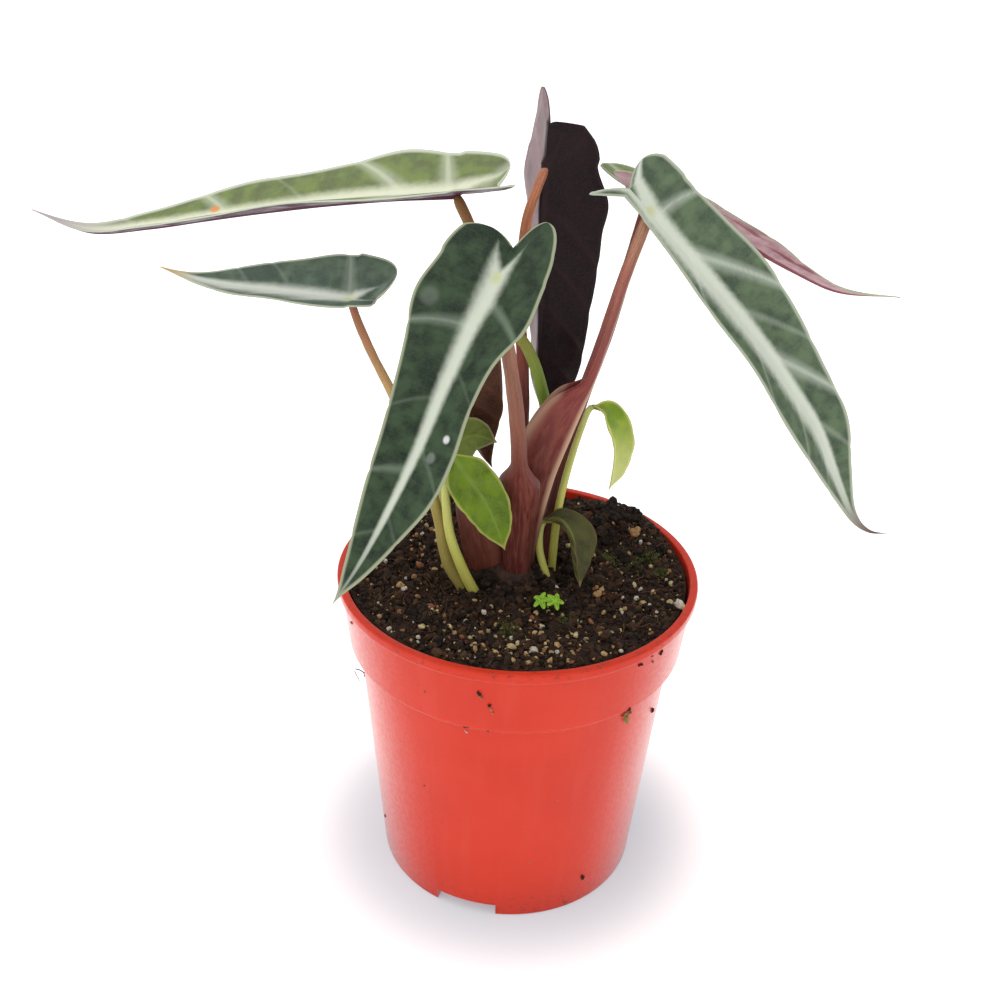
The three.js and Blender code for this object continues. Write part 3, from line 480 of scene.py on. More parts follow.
# lobe: its share of the blade's length; sinus: how much of it stays joined; silver: the rib's half width
# veins: where each starts, its lean, strength and bend; scars: along, across, size, strength and colour
leaves = {
    "front": {
        "spine": [(-6.9, -24, 170.1), (-12.2, -31.2, 160.8), (-16.8, -38.7, 151.5), (-21.2, -44.7, 141),
                  (-26.3, -50, 130.4), (-32.2, -54.4, 119.2), (-38.2, -56, 109.2)],
        "face": [(-0.4, -0.78, 0.5), (0, -0.8, 0.6)], "right": [13.2, 14.2, 11.6, 9.8, 8.6, 7.3, 5.3, 2.8, 0],
        "left": [14.4, 14.2, 10.6, 9.2, 9.2, 8.6, 5.6, 2.6, 0], "foldRight": [25, 22], "foldLeft": [25, 22],
        "lobe": 0.15, "sinus": 0.64, "lobeSpread": [0.43, 0.43], "lobeRise": 0, "lobeStretch": [0.45, 1.6],
        "lobeSplay": [0, 0], "curl": 0.6, "wave": 0.5, "waves": 2.5, "wavePhase": 0.4,
        "silver": {"right": [2.8, 2.2, 1.8, 1.4, 1.05, 0.75, 0.45, 0.2],
                   "left": [3.0, 2.4, 1.9, 1.45, 1.05, 0.75, 0.45, 0.2]},
        "veins": {"right": [(0.15, 0.05, 0.9, 0.02), (0.36, 0.3, 0.3, 0.03), (0.57, 0.2, 0.65, 0.03),
                            (0.75, 0.6, 0.3, 0.03)],
                  "left": [(0.07, 0.15, 0.75, 0.03), (0.27, 0.5, 0.25, 0.03), (0.5, 0.6, 0.35, 0.03),
                           (0.7, 0.7, 0.25, 0.03)]},
        "top": {**darkTop, "lobeFade": 13, "ribEnd": 1.05,
                "scars": [(35, -6, 1.1, 0.85, (0.72, 0.74, 0.70)), (39.5, -4, 1.5, 0.25, (0.5, 0.55, 0.5)),
                          (9.5, 10.8, 2.6, 0.16, (0.40, 0.44, 0.38))]},
        "under": wineUnder, "slot": "leaf",
    },
    "right": {
        "spine": [(24.7, -8, 180.5), (33.3, -9.6, 172), (41.9, -11.6, 163.6), (50.2, -13.6, 154.8),
                  (57.8, -15.6, 145.5), (64.9, -17.5, 136), (70.3, -18, 125.2), (75.9, -17, 114.4),
                  (80.6, -16, 109.6), (85.9, -15, 108.4)],
        "face": [(0.42, -0.78, 0.46), (0.42, -0.78, 0.46)], "right": [5, 6.8, 9.2, 10.4, 11, 10, 6, 1.7, 0],
        "left": [10.5, 11.2, 11.8, 10.4, 8.8, 7.4, 4.2, 1.2, 0], "foldRight": [40, 30], "foldLeft": [30, 30],
        "veinWidth": 1.1, "lobe": 0.15, "sinus": 0.45, "lobeSpread": [0.55, 0.55], "lobeRise": 0,
        "lobeStretch": [0.8, 0.35], "lobeSplay": [2, 0], "curl": 0.6, "wave": 0.5, "waves": 2.5,
        "wavePhase": 1.4,
        "silver": {"right": [4.8, 5.2, 5.5, 4.9, 4.2, 3.2, 1.5, 0],
                   "left": [2.4, 2.0, 1.8, 1.6, 1.4, 1.1, 0.6, 0]},
        "veins": {"right": [(0.0, -0.3, 0.5), (0.14, 0.6, 0.5), (0.34, 0.9, 0.4), (0.52, 1.0, 0.4),
                            (0.68, 1.0, 0.3)],
                  "left": [(0.02, -0.15, 0.9, 0.03), (0.115, 1.6, 1, 0.01), (0.28, 1.6, 0.45, 0.01),
                           (0.42, 1.6, 1, 0.03), (0.6, 1.6, 0.4, 0.02)]},
        "top": {**paleTop, "green": (0.12, 0.18, 0.098), "dark": (0.050, 0.082, 0.052),
                "fleck": (0.14, 0.15, 0.11), "silver": (0.66, 0.70, 0.60), "feather": 0.4, "lobeFade": 4,
                "ribEnd": 1.08, "vein": (0.56, 0.61, 0.52), "tip": (0.12, 0.035, 0.045), "tipFrom": 0.8,
                "tips": 1.0, "rimWidth": 1.0},
        "under": wineUnder, "slot": "leaf",
    },
    "left_upper": {
        "spine": [(-17.8, 10, 177.6), (-32.7, 11.2, 175.9), (-47.5, 13.4, 173.3), (-62.1, 16.2, 170.1),
                  (-76.5, 19, 166.6), (-91.1, 20.9, 163.2), (-106, 22, 161.2), (-119.2, 23, 165.2)],
        "face": [(0, 0, 1), (0, 0, 1)], "right": [13.4, 14.8, 13, 11.2, 10.3, 7.8, 5, 2.4, 0],
        "left": [13, 13, 12.4, 11.4, 10, 7.8, 5.2, 2.4, 0], "foldRight": [28, 28], "foldLeft": [17, 17],
        "veinWidth": 1.5, "lobe": 0.12, "sinus": 0.75, "lobeSpread": [0.5, 0.5], "lobeRise": 0.8,
        "lobeStretch": [0.9, 1.6], "lobeSplay": [0, 0], "curl": 0.3, "wave": 0.6, "waves": 2.5,
        "wavePhase": 0,
        "silver": {"right": [3.3, 3.2, 2.9, 2.5, 2.3, 2.1, 1.8, 1.2],
                   "left": [6.6, 7.2, 7.2, 6.2, 5.6, 4.6, 3, 1.6]},
        "veins": {"right": [(-0.06, -0.5, 0.7), (0.014, 0.1, 1, 0), (0.115, 0.55, 1, 0.03),
                            (0.34, 0.6, 0.2, 0.03), (0.535, 0.5, 0.95, 0.04), (0.76, 0.6, 0.5, 0.04)],
                  "left": [(-0.05, -0.7, 0.8), (0.05, 0.5, 1), (0.22, 0.9, 0.8), (0.40, 1.0, 0.8),
                           (0.58, 1.0, 0.7), (0.75, 1.0, 0.5)]},
        "top": {**paleTop, "green": (0.20, 0.28, 0.085), "tip": (0.44, 0.36, 0.39), "tipFrom": 0.74,
                "tips": 0.9, "rims": 1.0, "rimWidth": 1.6, "vein": (0.66, 0.70, 0.54),
                "rim": (0.58, 0.62, 0.50), "scars": [(59.0, 2.5, 1.6, 0.85, (0.80, 0.28, 0.06))]},
        "under": {**wineUnder, "skin": (0.065, 0.015, 0.035), "dark": (0.035, 0.008, 0.02),
                  "fleck": (0.08, 0.03, 0.045), "vein": (0.10, 0.03, 0.05), "rib": (0.10, 0.03, 0.05),
                  "rim": (0.12, 0.05, 0.08)},
        "slot": "leaf",
    },
    "left_lower": {
        "spine": [(-39, -12, 159.6), (-47.3, -11.9, 160.2), (-55.9, -11, 160.5), (-64.4, -10, 160.8),
                  (-72.8, -9, 161.7), (-81, -8, 163.8)],
        "face": [(0, 0, 1), (0, 0, 1)], "right": [13, 12.4, 11.2, 9.6, 7.8, 5.8, 3.4, 1.3, 0],
        "left": [11.4, 11, 10.2, 9, 7.6, 5.8, 3.6, 1.4, 0], "foldRight": [32, 27], "foldLeft": [16, 8],
        "lobe": 0.22, "sinus": 0.6, "lobeSpread": [0.5, 0.5], "lobeRise": 1.6, "lobeStretch": [1, 0.2],
        "lobeSplay": [0, 0], "curl": 0.5, "wave": 0.4, "waves": 2, "wavePhase": 0.8,
        "silver": {"right": [2.0, 2.2, 2.2, 2.0, 1.6, 1.2, 0.8, 0.4],
                   "left": [5, 6, 6, 5.2, 4.4, 3.2, 1.8, 1]},
        "veins": {"right": [(-0.12, -0.4, 0.5), (0.005, 0.1, 0.95, 0), (0.3, 0.5, 0.4, 0.03),
                            (0.52, 0.6, 0.4, 0.03)],
                  "left": [(-0.1, -0.4, 0.7), (0.1, 0.5, 0.8), (0.34, 0.7, 0.6), (0.56, 0.9, 0.5)]},
        "top": {**paleTop, "green": (0.105, 0.155, 0.10), "dark": (0.046, 0.074, 0.054),
                "fleck": (0.11, 0.12, 0.10), "silver": (0.60, 0.63, 0.56), "vein": (0.28, 0.32, 0.26),
                "tip": (0.50, 0.34, 0.12), "tipFrom": 0.78, "tips": 1.0},
        "under": wineUnder, "slot": "leaf",
    },
    "young": {
        "spine": [(2.7, 11, 184.8), (2.4, 11.9, 173.9), (2.7, 12.7, 162.9), (3, 13, 151.9), (3.3, 13, 140.9),
                  (3.8, 13, 129.9), (5.7, 13, 119.6)],
        "face": [(0.643, 0.766, 0), (0.643, 0.766, 0)],
        "right": [11.6, 14.8, 13.8, 13.3, 12.2, 11.1, 10, 7.2, 0],
        "left": [11, 13, 12, 11.2, 11, 11, 11.2, 9.6, 0], "foldRight": [40, 40], "foldLeft": [33, 40],
        "lobe": 0.17, "sinus": 0.8, "lobeSpread": [0.1, 0.64], "lobeRise": 0, "lobeStretch": [0.2, 2.6],
        "lobeSplay": [0, 0], "curl": 0.5, "wave": 0.9, "waves": 2.2, "wavePhase": 2,
        "silver": both([1.2, 1.1, 1.0, 0.9, 0.8, 0.6, 0.4, 0.2]),
        "veins": both([(0.0, -0.4, 1), (0.16, 0.5, 1), (0.34, 0.6, 1), (0.52, 0.7, 1), (0.7, 0.8, 0.8)]),
        "top": {**darkTop, "green": (0.05, 0.03, 0.035), "dark": (0.028, 0.016, 0.02),
                "fleck": (0.08, 0.04, 0.05), "silver": (0.22, 0.16, 0.15), "vein": (0.12, 0.08, 0.08),
                "rim": (0.12, 0.08, 0.08)},
        "under": nightUnder, "slot": "young_leaf",
    },
    "right_back": {
        "spine": [(26.2, 16, 177.2), (38.5, 20.2, 172.3), (50.8, 24.1, 164.4), (63.4, 27.9, 156.8),
                  (76.9, 30.8, 150.4), (91.7, 33, 148.5)],
        "face": [(0.32, 0.25, 0.91), (0.32, 0.25, 0.91)], "right": [9, 8, 7.3, 7.3, 6.4, 4.4, 2.6, 1.1, 0],
        "left": [9, 8.2, 7.6, 7.6, 6.8, 4.8, 2.8, 1.1, 0], "foldRight": [30, 30], "foldLeft": [30, 30],
        "lobe": 0.16, "sinus": 0.5, "lobeSpread": [0.5, 0.5], "lobeRise": 0, "lobeStretch": [1, 1],
        "lobeSplay": [0, 0], "curl": 0.5, "wave": 0.5, "waves": 2.5, "wavePhase": 0.9,
        "silver": both([1.3, 1.2, 1.1, 1.0, 0.8, 0.6, 0.4, 0.2]),
        "veins": both([(-0.05, -0.4, 1), (0.12, 0.6, 1), (0.3, 0.8, 0.8), (0.5, 0.9, 0.7), (0.7, 1, 0.5)]),
        "top": paleTop,
        "under": {"skin": (0.54, 0.36, 0.38), "dark": (0.36, 0.19, 0.22), "fleck": (0.60, 0.46, 0.46),
                  "streaks": 0.8, "vein": (0.60, 0.44, 0.44), "rib": (0.20, 0.03, 0.05),
                  "rim": (0.50, 0.44, 0.34), "ribs": 0.85},
        "slot": "leaf",
    },
    "middle": {
        "spine": [(-16, 14, 139), (-14.7, 13, 130), (-12.4, 12, 119.8), (-9.7, 11, 112.2), (-7.4, 11, 107.5)],
        "face": [(0.5, 0.86, 0), (0.5, 0.86, 0)], "right": [9.5, 9.5, 9.4, 9, 8.5, 7, 4.6, 2.2, 0],
        "left": [9.5, 9.5, 9.4, 9, 8.5, 7, 4.6, 2.2, 0], "foldRight": [30, 30], "foldLeft": [30, 30],
        "lobe": 0.2, "sinus": 0.6, "lobeSpread": [0.5, 0.5], "lobeRise": 0, "lobeStretch": [1, 1],
        "lobeSplay": [0, 0], "curl": 0.4, "wave": 0.4, "waves": 2, "wavePhase": 0.2,
        "silver": both([1.3, 1.2, 1.1, 1.0, 0.8, 0.6, 0.4, 0.2]),
        "veins": both([(0.0, -0.3, 1), (0.2, 0.6, 1), (0.42, 0.8, 0.8), (0.66, 0.9, 0.6)]), "top": darkTop,
        "under": {"skin": (0.11, 0.045, 0.026), "dark": (0.055, 0.02, 0.014), "fleck": (0.17, 0.09, 0.055),
                  "vein": (0.16, 0.065, 0.04), "rib": (0.15, 0.055, 0.035), "rim": (0.18, 0.10, 0.06)},
        "slot": "leaf",
    },
}


halfNames = ("right", "left")


def bladeRowShares(leaf):
    body = np.linspace(0, 1, leaf["bodyRows"]) ** 0.97
    if leaf["lobe"] == 0:
        return body
    turn = np.linspace(0, math.acos(leaf["sinus"]), blade["lobeRows"])
    lobes = -leaf["lobe"] * np.cos(turn)
    neck = np.linspace(-leaf["lobe"] * leaf["sinus"], 0, blade["neckRows"] + 1)[1:-1]
    return np.concatenate([lobes, neck, body])


def bladeEdges(leaf, q, half):
    widths = leaf[halfNames[half]]
    outer = stations(widths, q)
    inner = np.zeros_like(q)
    if leaf["lobe"] > 0:
        shoulder = widths[0]
        spread = leaf["lobeSpread"][half] * shoulder
        backness = np.clip(1 + q / leaf["lobe"], 0, 1)
        lobeSide = spread + (shoulder - spread) * np.sqrt(backness * (2 - backness))
        slit = np.clip(backness / (1 - leaf["sinus"]), 0, 1)
        hollow = np.sqrt(slit * (2 - slit))
        outer = np.where(q < 0, lobeSide, outer)
        inner = np.where(q < 0, spread * (1 - 0.6 * hollow - 0.4 * slit), 0)
    return inner, outer


def sideVeins(leaf, half, along, across, outer):  # distance to the nearest side vein, over its half width
    nearest = np.full(along.shape, 9.0)
    for start, lean, weight, *more in leaf["veins"][halfNames[half]]:
        bend = more[0] if more else 0.045 * (1 if lean > -0.1 else -1)
        line = start * leaf["length"] + across * lean + across ** 2 * bend
        away = np.abs(along - line) / np.sqrt(1 + (lean + 2 * bend * across) ** 2)
        outward = np.clip(across / np.maximum(outer, 1), 0, 1)
        halfWidth = mix(0.95, 0.42, outward) * mix(0.7, 1.0, weight) * leaf["veinWidth"]
        nearest = np.minimum(nearest, away / halfWidth + (1 - weight) * 2.4)
    return nearest


def bladeHalf(leaf, half):  # q runs from the lobe to the tip, v from the midrib to the margin
    hand = (1, -1)[half]
    q = bladeRowShares(leaf)[:, None]
    even = np.linspace(0, 1, leaf["columns"] + 1)
    v = (0.45 * even + 0.55 * (1 - np.cos(math.pi * even)) / 2)[None, :]
    along = np.clip(q[:, 0], 0, 1)
    origin, tangent = onLine(leaf["line"], along)
    facing = mix(np.array(leaf["face"][0], float), np.array(leaf["face"][1], float), smooth(along)[:, None])
    normal = unit(facing - tangent * np.sum(facing * tangent, -1, keepdims=True))
    side = np.cross(tangent, normal)
    root = leaf["lobe"] * leaf["sinus"]
    free = np.maximum(0, -q[:, 0] - root) * leaf["lobeStretch"][half]
    back = np.where(q[:, 0] < 0, np.minimum(-q[:, 0], root) + free, 0)
    lifted = leaf["lobeRise"] * (q[:, 0] / max(leaf["lobe"], 1e-6)) ** 2 * (q[:, 0] < 0)
    origin = origin - tangent * (back * leaf["length"])[:, None] + normal * lifted[:, None]
    inner, outer = bladeEdges(leaf, q, half)
    aside = (leaf["lobeSplay"][half] * free * leaf["length"])[:, None]
    inner, outer = inner + aside, outer + aside
    across = mix(inner, outer, v)
    alongMm = (q * leaf["length"]) + 0 * across
    alongMm = np.where(q < 0, -back[:, None] * leaf["length"], alongMm)
    vein = sideVeins(leaf, half, alongMm, across, outer + 0 * across)
    atMargin = sideVeins(leaf, half, alongMm, outer + 0 * across, outer + 0 * across)
    scallop = leaf["scallop"] * np.exp(-(atMargin / 3) ** 2) * v ** 3 * np.clip(outer / 4, 0, 1)
    across = np.maximum(across - scallop, 0)
    folds = leaf[("foldRight", "foldLeft")[half]]
    fold = np.radians(mix(folds[0], folds[1], smooth(q)))
    reach = across / max(*leaf["right"], *leaf["left"])
    turns = leaf["waves"] * q + (0, 0.35)[half]
    ripple = np.sin(2 * math.pi * turns + leaf["wavePhase"])
    rise = leaf["wave"] * ripple * reach ** 2 * smooth(q * 6 + 1) - leaf["curl"] * reach ** 2
    groove = leaf["groove"]
    climb = np.where(q < 0, across, np.sqrt(across ** 2 + groove ** 2) - groove)
    nearRib = np.clip(across / 3, 0, 1) * np.clip((1 - v) * 4, 0, 1)
    puffed = leaf["puff"] * (1 - np.exp(-(vein / 3) ** 2))
    rise = rise + nearRib * (puffed - leaf["dent"] * np.exp(-vein ** 2))
    up = normal[:, None, :]
    out = side[:, None, :] * hand
    cosine, sine = np.cos(fold)[..., None], np.sin(fold)[..., None]
    top = origin[:, None, :] + out * cosine * across[..., None] + up * sine * climb[..., None]
    halfNormal = up * cosine - out * sine
    top = top + halfNormal * rise[..., None]
    tilt = smooth(across / 2.0)[..., None]
    under = unit(mix(up + 0 * halfNormal, halfNormal, tilt))
    taper = smooth(np.minimum(outer - across, across - inner + 9 * (inner == 0)) / 3)
    thick = mix(leaf["edge"], leaf["middle"], taper)
    ribSize = leaf["ridge"] * mix(1.0, 0.25, np.clip(q, 0, 1)) * (q >= 0) * np.clip(outer / 3, 0, 1)
    inside = np.clip(1 - (across / np.maximum(ribSize, 1e-3)) ** 2, 0, 1)
    thick = thick + ribSize * np.sqrt(inside)
    bottom = top - under * thick[..., None]
    share = np.clip(-q / max(leaf["lobe"], 1e-6), 0, 1)
    ribPath = np.where(q < 0, share ** 0.8 * mix(inner, outer, 0.42), 0)
    silver = leaf["silver"][halfNames[half]]
    ribWidth = np.where(q < 0, silver[0] * (1 - 0.45 * share ** 0.6), stations(silver, q))
    stripe = (across - ribPath) / np.maximum(ribWidth, 0.15)
    edge = np.minimum(outer - across, np.where(inner > 0, across - inner, 99))
    marks = np.stack([stripe, vein, edge + 0 * across], -1)
    lay = np.stack([alongMm, hand * across, q + 0 * across], -1)
    return top, bottom, marks, lay


def bladeMesh(name, leaf, topSkin, underSkin):
    leaf["line"] = smoothLine(leaf["spine"])
    leaf["length"] = leaf["line"]["length"]
    points, faces, slots, marks, lays = [], [], [], [], []
    count = 0
    q = bladeRowShares(leaf)
    for half in (0, 1):
        top, bottom, mark, lay = bladeHalf(leaf, half)
        rows, columns = top.shape[:2]
        for side, sheet in enumerate((top, bottom)):
            points.append(sheet.reshape(-1, 3))
            marks.append(mark.reshape(-1, 3))
            lays.append(lay.reshape(-1, 3))
            faces += gridFaces(rows, columns, count + side * rows * columns, flip=half != side)
            slots += [side] * ((rows - 1) * (columns - 1))
        low = count + rows * columns
        for i in range(rows - 1):
            a, b = count + i * columns + columns - 1, count + (i + 1) * columns + columns - 1
            faces.append((a, b, b - count + low, a - count + low))
            slots.append(0)
            if leaf["lobe"] > 0 and q[i + 1] <= -leaf["lobe"] * leaf["sinus"] + 1e-9:
                c, d = count + i * columns, count + (i + 1) * columns
                faces.append((c, c - count + low, d - count + low, d))
                slots.append(0)
        count += 2 * rows * columns
    mesh = meshOf(name, np.vstack(points), faces, [topSkin, underSkin], slots,
                  {"marks": np.vstack(marks), "lay": np.vstack(lays)})
    return weld(mesh)


for name, look in leaves.items():
    leaf = leaves[name] = {**blade, **look}
    topSkin = leafTop(f"leafTop.{name}", leaf["top"])
    underSkin = leafUnder(f"leafUnder.{name}", leaf["under"])
    mesh = bladeMesh(f"leaf_{name}", leaf, topSkin, underSkin)
    addPiece(f"leaf_{name}", mesh, leaf["slot"], f"blade_{name}")
print("leaf blades ready")


# leaf stalks: round above, opening below into a sheath

stalkForm = {"outside": 22, "inside": 22, "rings": 110, "wing": 0.55, "blend": 0.1, "opening": 100,
             "sides": 28, "below": 0.7, "near": 9, "round": 0.03, "wobble": 0.12}

redStalk = {"line": (0.34, 0.11, 0.075), "shade": (0.055, 0.011, 0.010), "edge": (0.45, 0.28, 0.19),
            "streak": 0.45, "patch": 0.45}

# sheath: the share of the stalk where it ends, then its depth and width up to there
stalks = {
    "front": {
        "path": [(-0.6, -4, 77), (-0.4, -4.3, 84.7), (-0.7, -5, 101.9), (-0.8, -8, 113.2), (-1, -12, 125.8),
                 (-2.8, -18, 143.6), (-5.7, -23, 162.9), (-6.9, -24, 170.1)],
        "base": 2.4, "tip": 1.4, "outward": (-0.1, -1, 0.1),
        "sheath": {"end": 0.46, "depth": [2.8, 3.4, 3.8, 3.4], "width": [3.4, 3.6, 4.8, 5.4]},
        "look": {**redStalk,
                 "shades": [(0, (0.09, 0.018, 0.013)), (0.43, (0.16, 0.034, 0.027)),
                            (0.55, (0.27, 0.10, 0.065)), (0.8, (0.40, 0.20, 0.12)), (1, (0.40, 0.21, 0.12))]},
    },
    "right": {
        "path": [(1.6, 0, 77), (2, 0, 84.6), (3.2, -0.4, 96.9), (6, -1.6, 111.6), (10.1, -3, 125.7),
                 (13.9, -4, 137.9), (16.9, -5, 149.4), (20.4, -7, 165), (24.6, -8, 180.2)],
        "base": 2, "tip": 1.3, "outward": (1, -0.25, 0),
        "sheath": {"end": 0.64, "depth": [2.6, 4, 7, 9.5, 7.5, 2], "width": [2.6, 3, 3.8, 3.8, 3.2, 2]},
        "look": {**redStalk,
                 "shades": [(0, (0.11, 0.022, 0.016)), (0.4, (0.15, 0.028, 0.022)),
                            (0.6, (0.26, 0.042, 0.04)), (0.85, (0.46, 0.16, 0.12)), (1, (0.70, 0.42, 0.24))],
                 # flank: a painted highlight on the stalk's outward side
                 "flank": (0.66, 0.42, 0.28)},
    },
    "left_upper": {
        "path": [(2.2, 4.8, 77), (2.6, 5, 85.7), (4.2, 5.6, 100), (5.4, 5.4, 112), (5.4, 4.2, 124),
                 (3.5, 2.4, 134.6), (0.1, 1.6, 143.6), (-3.3, 2, 148.6), (-8.7, 4.4, 158.9),
                 (-14.1, 8, 170.4), (-17.8, 10, 177.4)],
        "base": 1.7, "tip": 1.2, "outward": (0, -1, 0),
        "look": {"line": (0.16, 0.26, 0.04), "shade": (0.12, 0.11, 0.025),
                 "shades": [(0, (0.15, 0.17, 0.04)), (0.40, (0.17, 0.36, 0.035)), (0.58, (0.24, 0.34, 0.05)),
                            (0.8, (0.44, 0.18, 0.08)), (1, (0.40, 0.13, 0.07))]},
    },
    "left_lower": {
        "path": [(-12.4, -8.6, 77), (-13.2, -8.8, 83.7), (-17.1, -8.4, 91.5), (-19.9, -8, 105.4),
                 (-22.7, -9, 116.6), (-27.3, -10, 129.9), (-35.9, -12, 150.6), (-39, -12, 159.5)],
        "base": 1.6, "tip": 0.9, "outward": (0, -1, 0),
        "look": {"line": (0.34, 0.30, 0.10), "shade": (0.24, 0.16, 0.05),
                 "shades": [(0, (0.30, 0.27, 0.06)), (0.5, (0.52, 0.40, 0.11)), (0.75, (0.60, 0.36, 0.15)),
                            (1, (0.46, 0.10, 0.10))]},
    },
    "young": {
        "path": [(-2.2, 4, 77), (-2.2, 4, 83.7), (-1.2, 5.6, 102.4), (-0.4, 6.6, 118.5), (-0.7, 7.2, 133.9),
                 (-2.2, 7.8, 153.6), (-1.7, 8.4, 170.1), (0.5, 9.2, 179), (2.7, 10.4, 184.6)],
        "base": 1.9, "tip": 1.05, "outward": (0, -1, 0),
        "look": {**redStalk,
                 "shades": [(0, (0.08, 0.02, 0.02)), (0.5, (0.15, 0.035, 0.03)), (0.72, (0.46, 0.07, 0.04)),
                            (0.88, (0.72, 0.28, 0.12)), (1, (0.70, 0.30, 0.17))]},
    },
    "right_back": {
        "path": [(5.6, 4.4, 77), (6, 5, 83.9), (8, 7.4, 98.1), (10.4, 10, 111.3), (13.8, 12, 126.5),
                 (19.2, 14, 144.6), (24.2, 16, 167), (26.2, 16, 177)],
        "base": 1.9, "tip": 1.2, "outward": (1, 0, 0),
        "look": {**redStalk,
                 "shades": [(0, (0.10, 0.025, 0.02)), (0.5, (0.20, 0.05, 0.045)), (1, (0.30, 0.08, 0.07))]},
    },
    "middle": {
        "path": [(-6.6, -0.8, 77), (-7.6, -0.8, 82.7), (-9.6, 0.6, 92.2), (-12.6, 3.6, 101.7),
                 (-16, 7, 109.8), (-17.7, 9, 118.3), (-17.8, 11, 128.2), (-16, 13.4, 139.2)],
        "base": 1.9, "tip": 1.1, "outward": (-0.35, -1, 0.2),
        "sheath": {"end": 0.5, "depth": [2.6, 3, 3, 2.2], "width": [3.6, 5.6, 5.2, 2.6]},
        "look": {**redStalk,
                 "shades": [(0, (0.24, 0.075, 0.03)), (0.25, (0.18, 0.05, 0.035)), (0.5, (0.18, 0.05, 0.045)),
                            (1, (0.14, 0.045, 0.03))],
                 "streak": 0.5},
    },
}


def stalkRing(stalk, u):  # ring points as (outwards, across), and how far out on a wing each is
    radius = mix(stalk["base"], stalk["tip"], u)
    if "sheath" not in stalk:
        angle = 2 * math.pi * np.arange(stalkForm["sides"]) / stalkForm["sides"]
        return np.stack([radius * np.cos(angle), radius * np.sin(angle)], -1), 0 * angle, angle
    sheath = stalk["sheath"]
    share = 1 - smooth((u - sheath["end"] + stalkForm["blend"]) / stalkForm["blend"])
    deep = max(radius, float(stations(sheath["depth"], u / sheath["end"])))
    wide = max(radius, float(stations(sheath["width"], u / sheath["end"])))
    opening = math.radians(stalkForm["opening"])
    ring, wings, angles = [], [], []
    for outside, count in ((True, stalkForm["outside"]), (False, stalkForm["inside"])):
        f = np.linspace(0, 1, count)
        if outside:
            roundAngle = -math.pi / 2 + math.pi * f
            wingAngle = -opening + 2 * opening * f
        else:
            roundAngle = math.pi / 2 + math.pi * (np.arange(count) + 1) / (count + 1)
            wingAngle = opening - 2 * opening * f
        rib = np.cos(wingAngle / 2) ** 8
        wall = 0 if outside else mix(stalkForm["wing"], 2 * radius, rib)
        flank = 0 if outside else stalkForm["wing"]
        trough = np.stack([radius - deep + (deep - wall) * np.cos(wingAngle),
                           (wide - flank) * np.sin(wingAngle)], -1)
        tube = np.stack([radius * np.cos(roundAngle), radius * np.sin(roundAngle)], -1)
        ring.append(mix(tube, trough, share))
        wings.append(np.abs(wingAngle) / opening * share)
        angles.append(roundAngle)
    return np.vstack(ring), np.concatenate(wings), np.concatenate(angles)


def underBlade(points, leaf):  # points near the leaf's base, kept below its midrib
    base, tangent = onLine(leaf["line"], 0.0)
    facing = np.array(leaf["face"][0], float)
    normal = unit(facing - tangent * np.dot(facing, tangent))
    above = (points - base) @ normal + stalkForm["below"]
    near = np.linalg.norm(points - base, axis=1) < stalkForm["near"]
    return points - np.outer(np.where(near, np.maximum(above, 0), 0), normal)


def stalkPoints(stalk, rings):
    line = smoothLine(stalk["path"])
    points, run, grain = [], [], []
    for u in np.linspace(0, 1, rings):
        centre, tangent = onLine(line, u)
        back = np.array(stalk["outward"], float)
        back = unit(back - tangent * np.dot(back, tangent))
        across = np.cross(tangent, back)
        ring, wing, angle = stalkRing(stalk, u)
        ending = max(0, (u - 1 + stalkForm["round"]) / stalkForm["round"])  # rounds the end off
        ring = ring * max(0.15, math.sqrt(max(0, 1 - ending ** 2)))
        points.append(centre + ring[:, :1] * back + ring[:, 1:] * across)
        run.append(np.stack([0 * wing + u, wing, angle], -1))
        lengthwise = 0 * angle + u * line["length"] * 0.08
        grain.append(np.stack([3 * np.cos(angle), 3 * np.sin(angle), lengthwise], -1))
    sides = len(points[0])
    faces = []
    for i in range(rings - 1):
        for k in range(sides):
            a, b = i * sides + k, i * sides + (k + 1) % sides
            faces.append((a, b, b + sides, a + sides))
    faces.append(tuple(range(sides))[::-1])
    faces.append(tuple((rings - 1) * sides + k for k in range(sides)))
    return np.vstack(points), faces, np.vstack(run), np.vstack(grain)


for name, stalk in stalks.items():
    points, faces, run, grain = stalkPoints(stalk, stalkForm["rings"])
    points = points + stalkForm["wobble"] * ruffle(points, 0.16, 2)[:, None]
    points = underBlade(points, leaves[name])
    mesh = meshOf(f"stalk_{name}", points, faces, [stalkSkin(f"stalkSkin.{name}", stalk["look"])],
                  marks={"run": run, "grain": grain})
    addPiece(f"stalk_{name}", weld(mesh), "stalk", f"petiole_{name}")
print("stalks ready")


# young leaves at the foot, each with its thin stem

suckerForm = {"lobe": 0, "sinus": 0, "lobeSpread": [0, 0], "lobeRise": 0, "lobeStretch": [1, 1],
              "lobeSplay": [0, 0], "curl": 0.3, "wave": 0.3, "waves": 2, "wavePhase": 0, "bodyRows": 70,
              "columns": 14, "rib": 0.16, "stemRings": 50, "silver": both([0.6, 0.6, 0.5, 0.4, 0.3, 0.1]),
              "veins": both([(0.15, 0.5, 0.8), (0.32, 0.7, 0.8), (0.5, 0.8, 0.7), (0.68, 0.9, 0.6)])}
freshTop = {"green": (0.15, 0.25, 0.014), "dark": (0.075, 0.14, 0.012), "fleck": (0.21, 0.27, 0.03),
            "vein": (0.20, 0.30, 0.06), "silver": (0.20, 0.30, 0.06), "tip": (0.42, 0.28, 0.12),
            "rim": (0.40, 0.42, 0.10), "heel": (0.3, 0.36, 0.08), "ribs": 0.5, "veins": 0.4, "rims": 0.8}
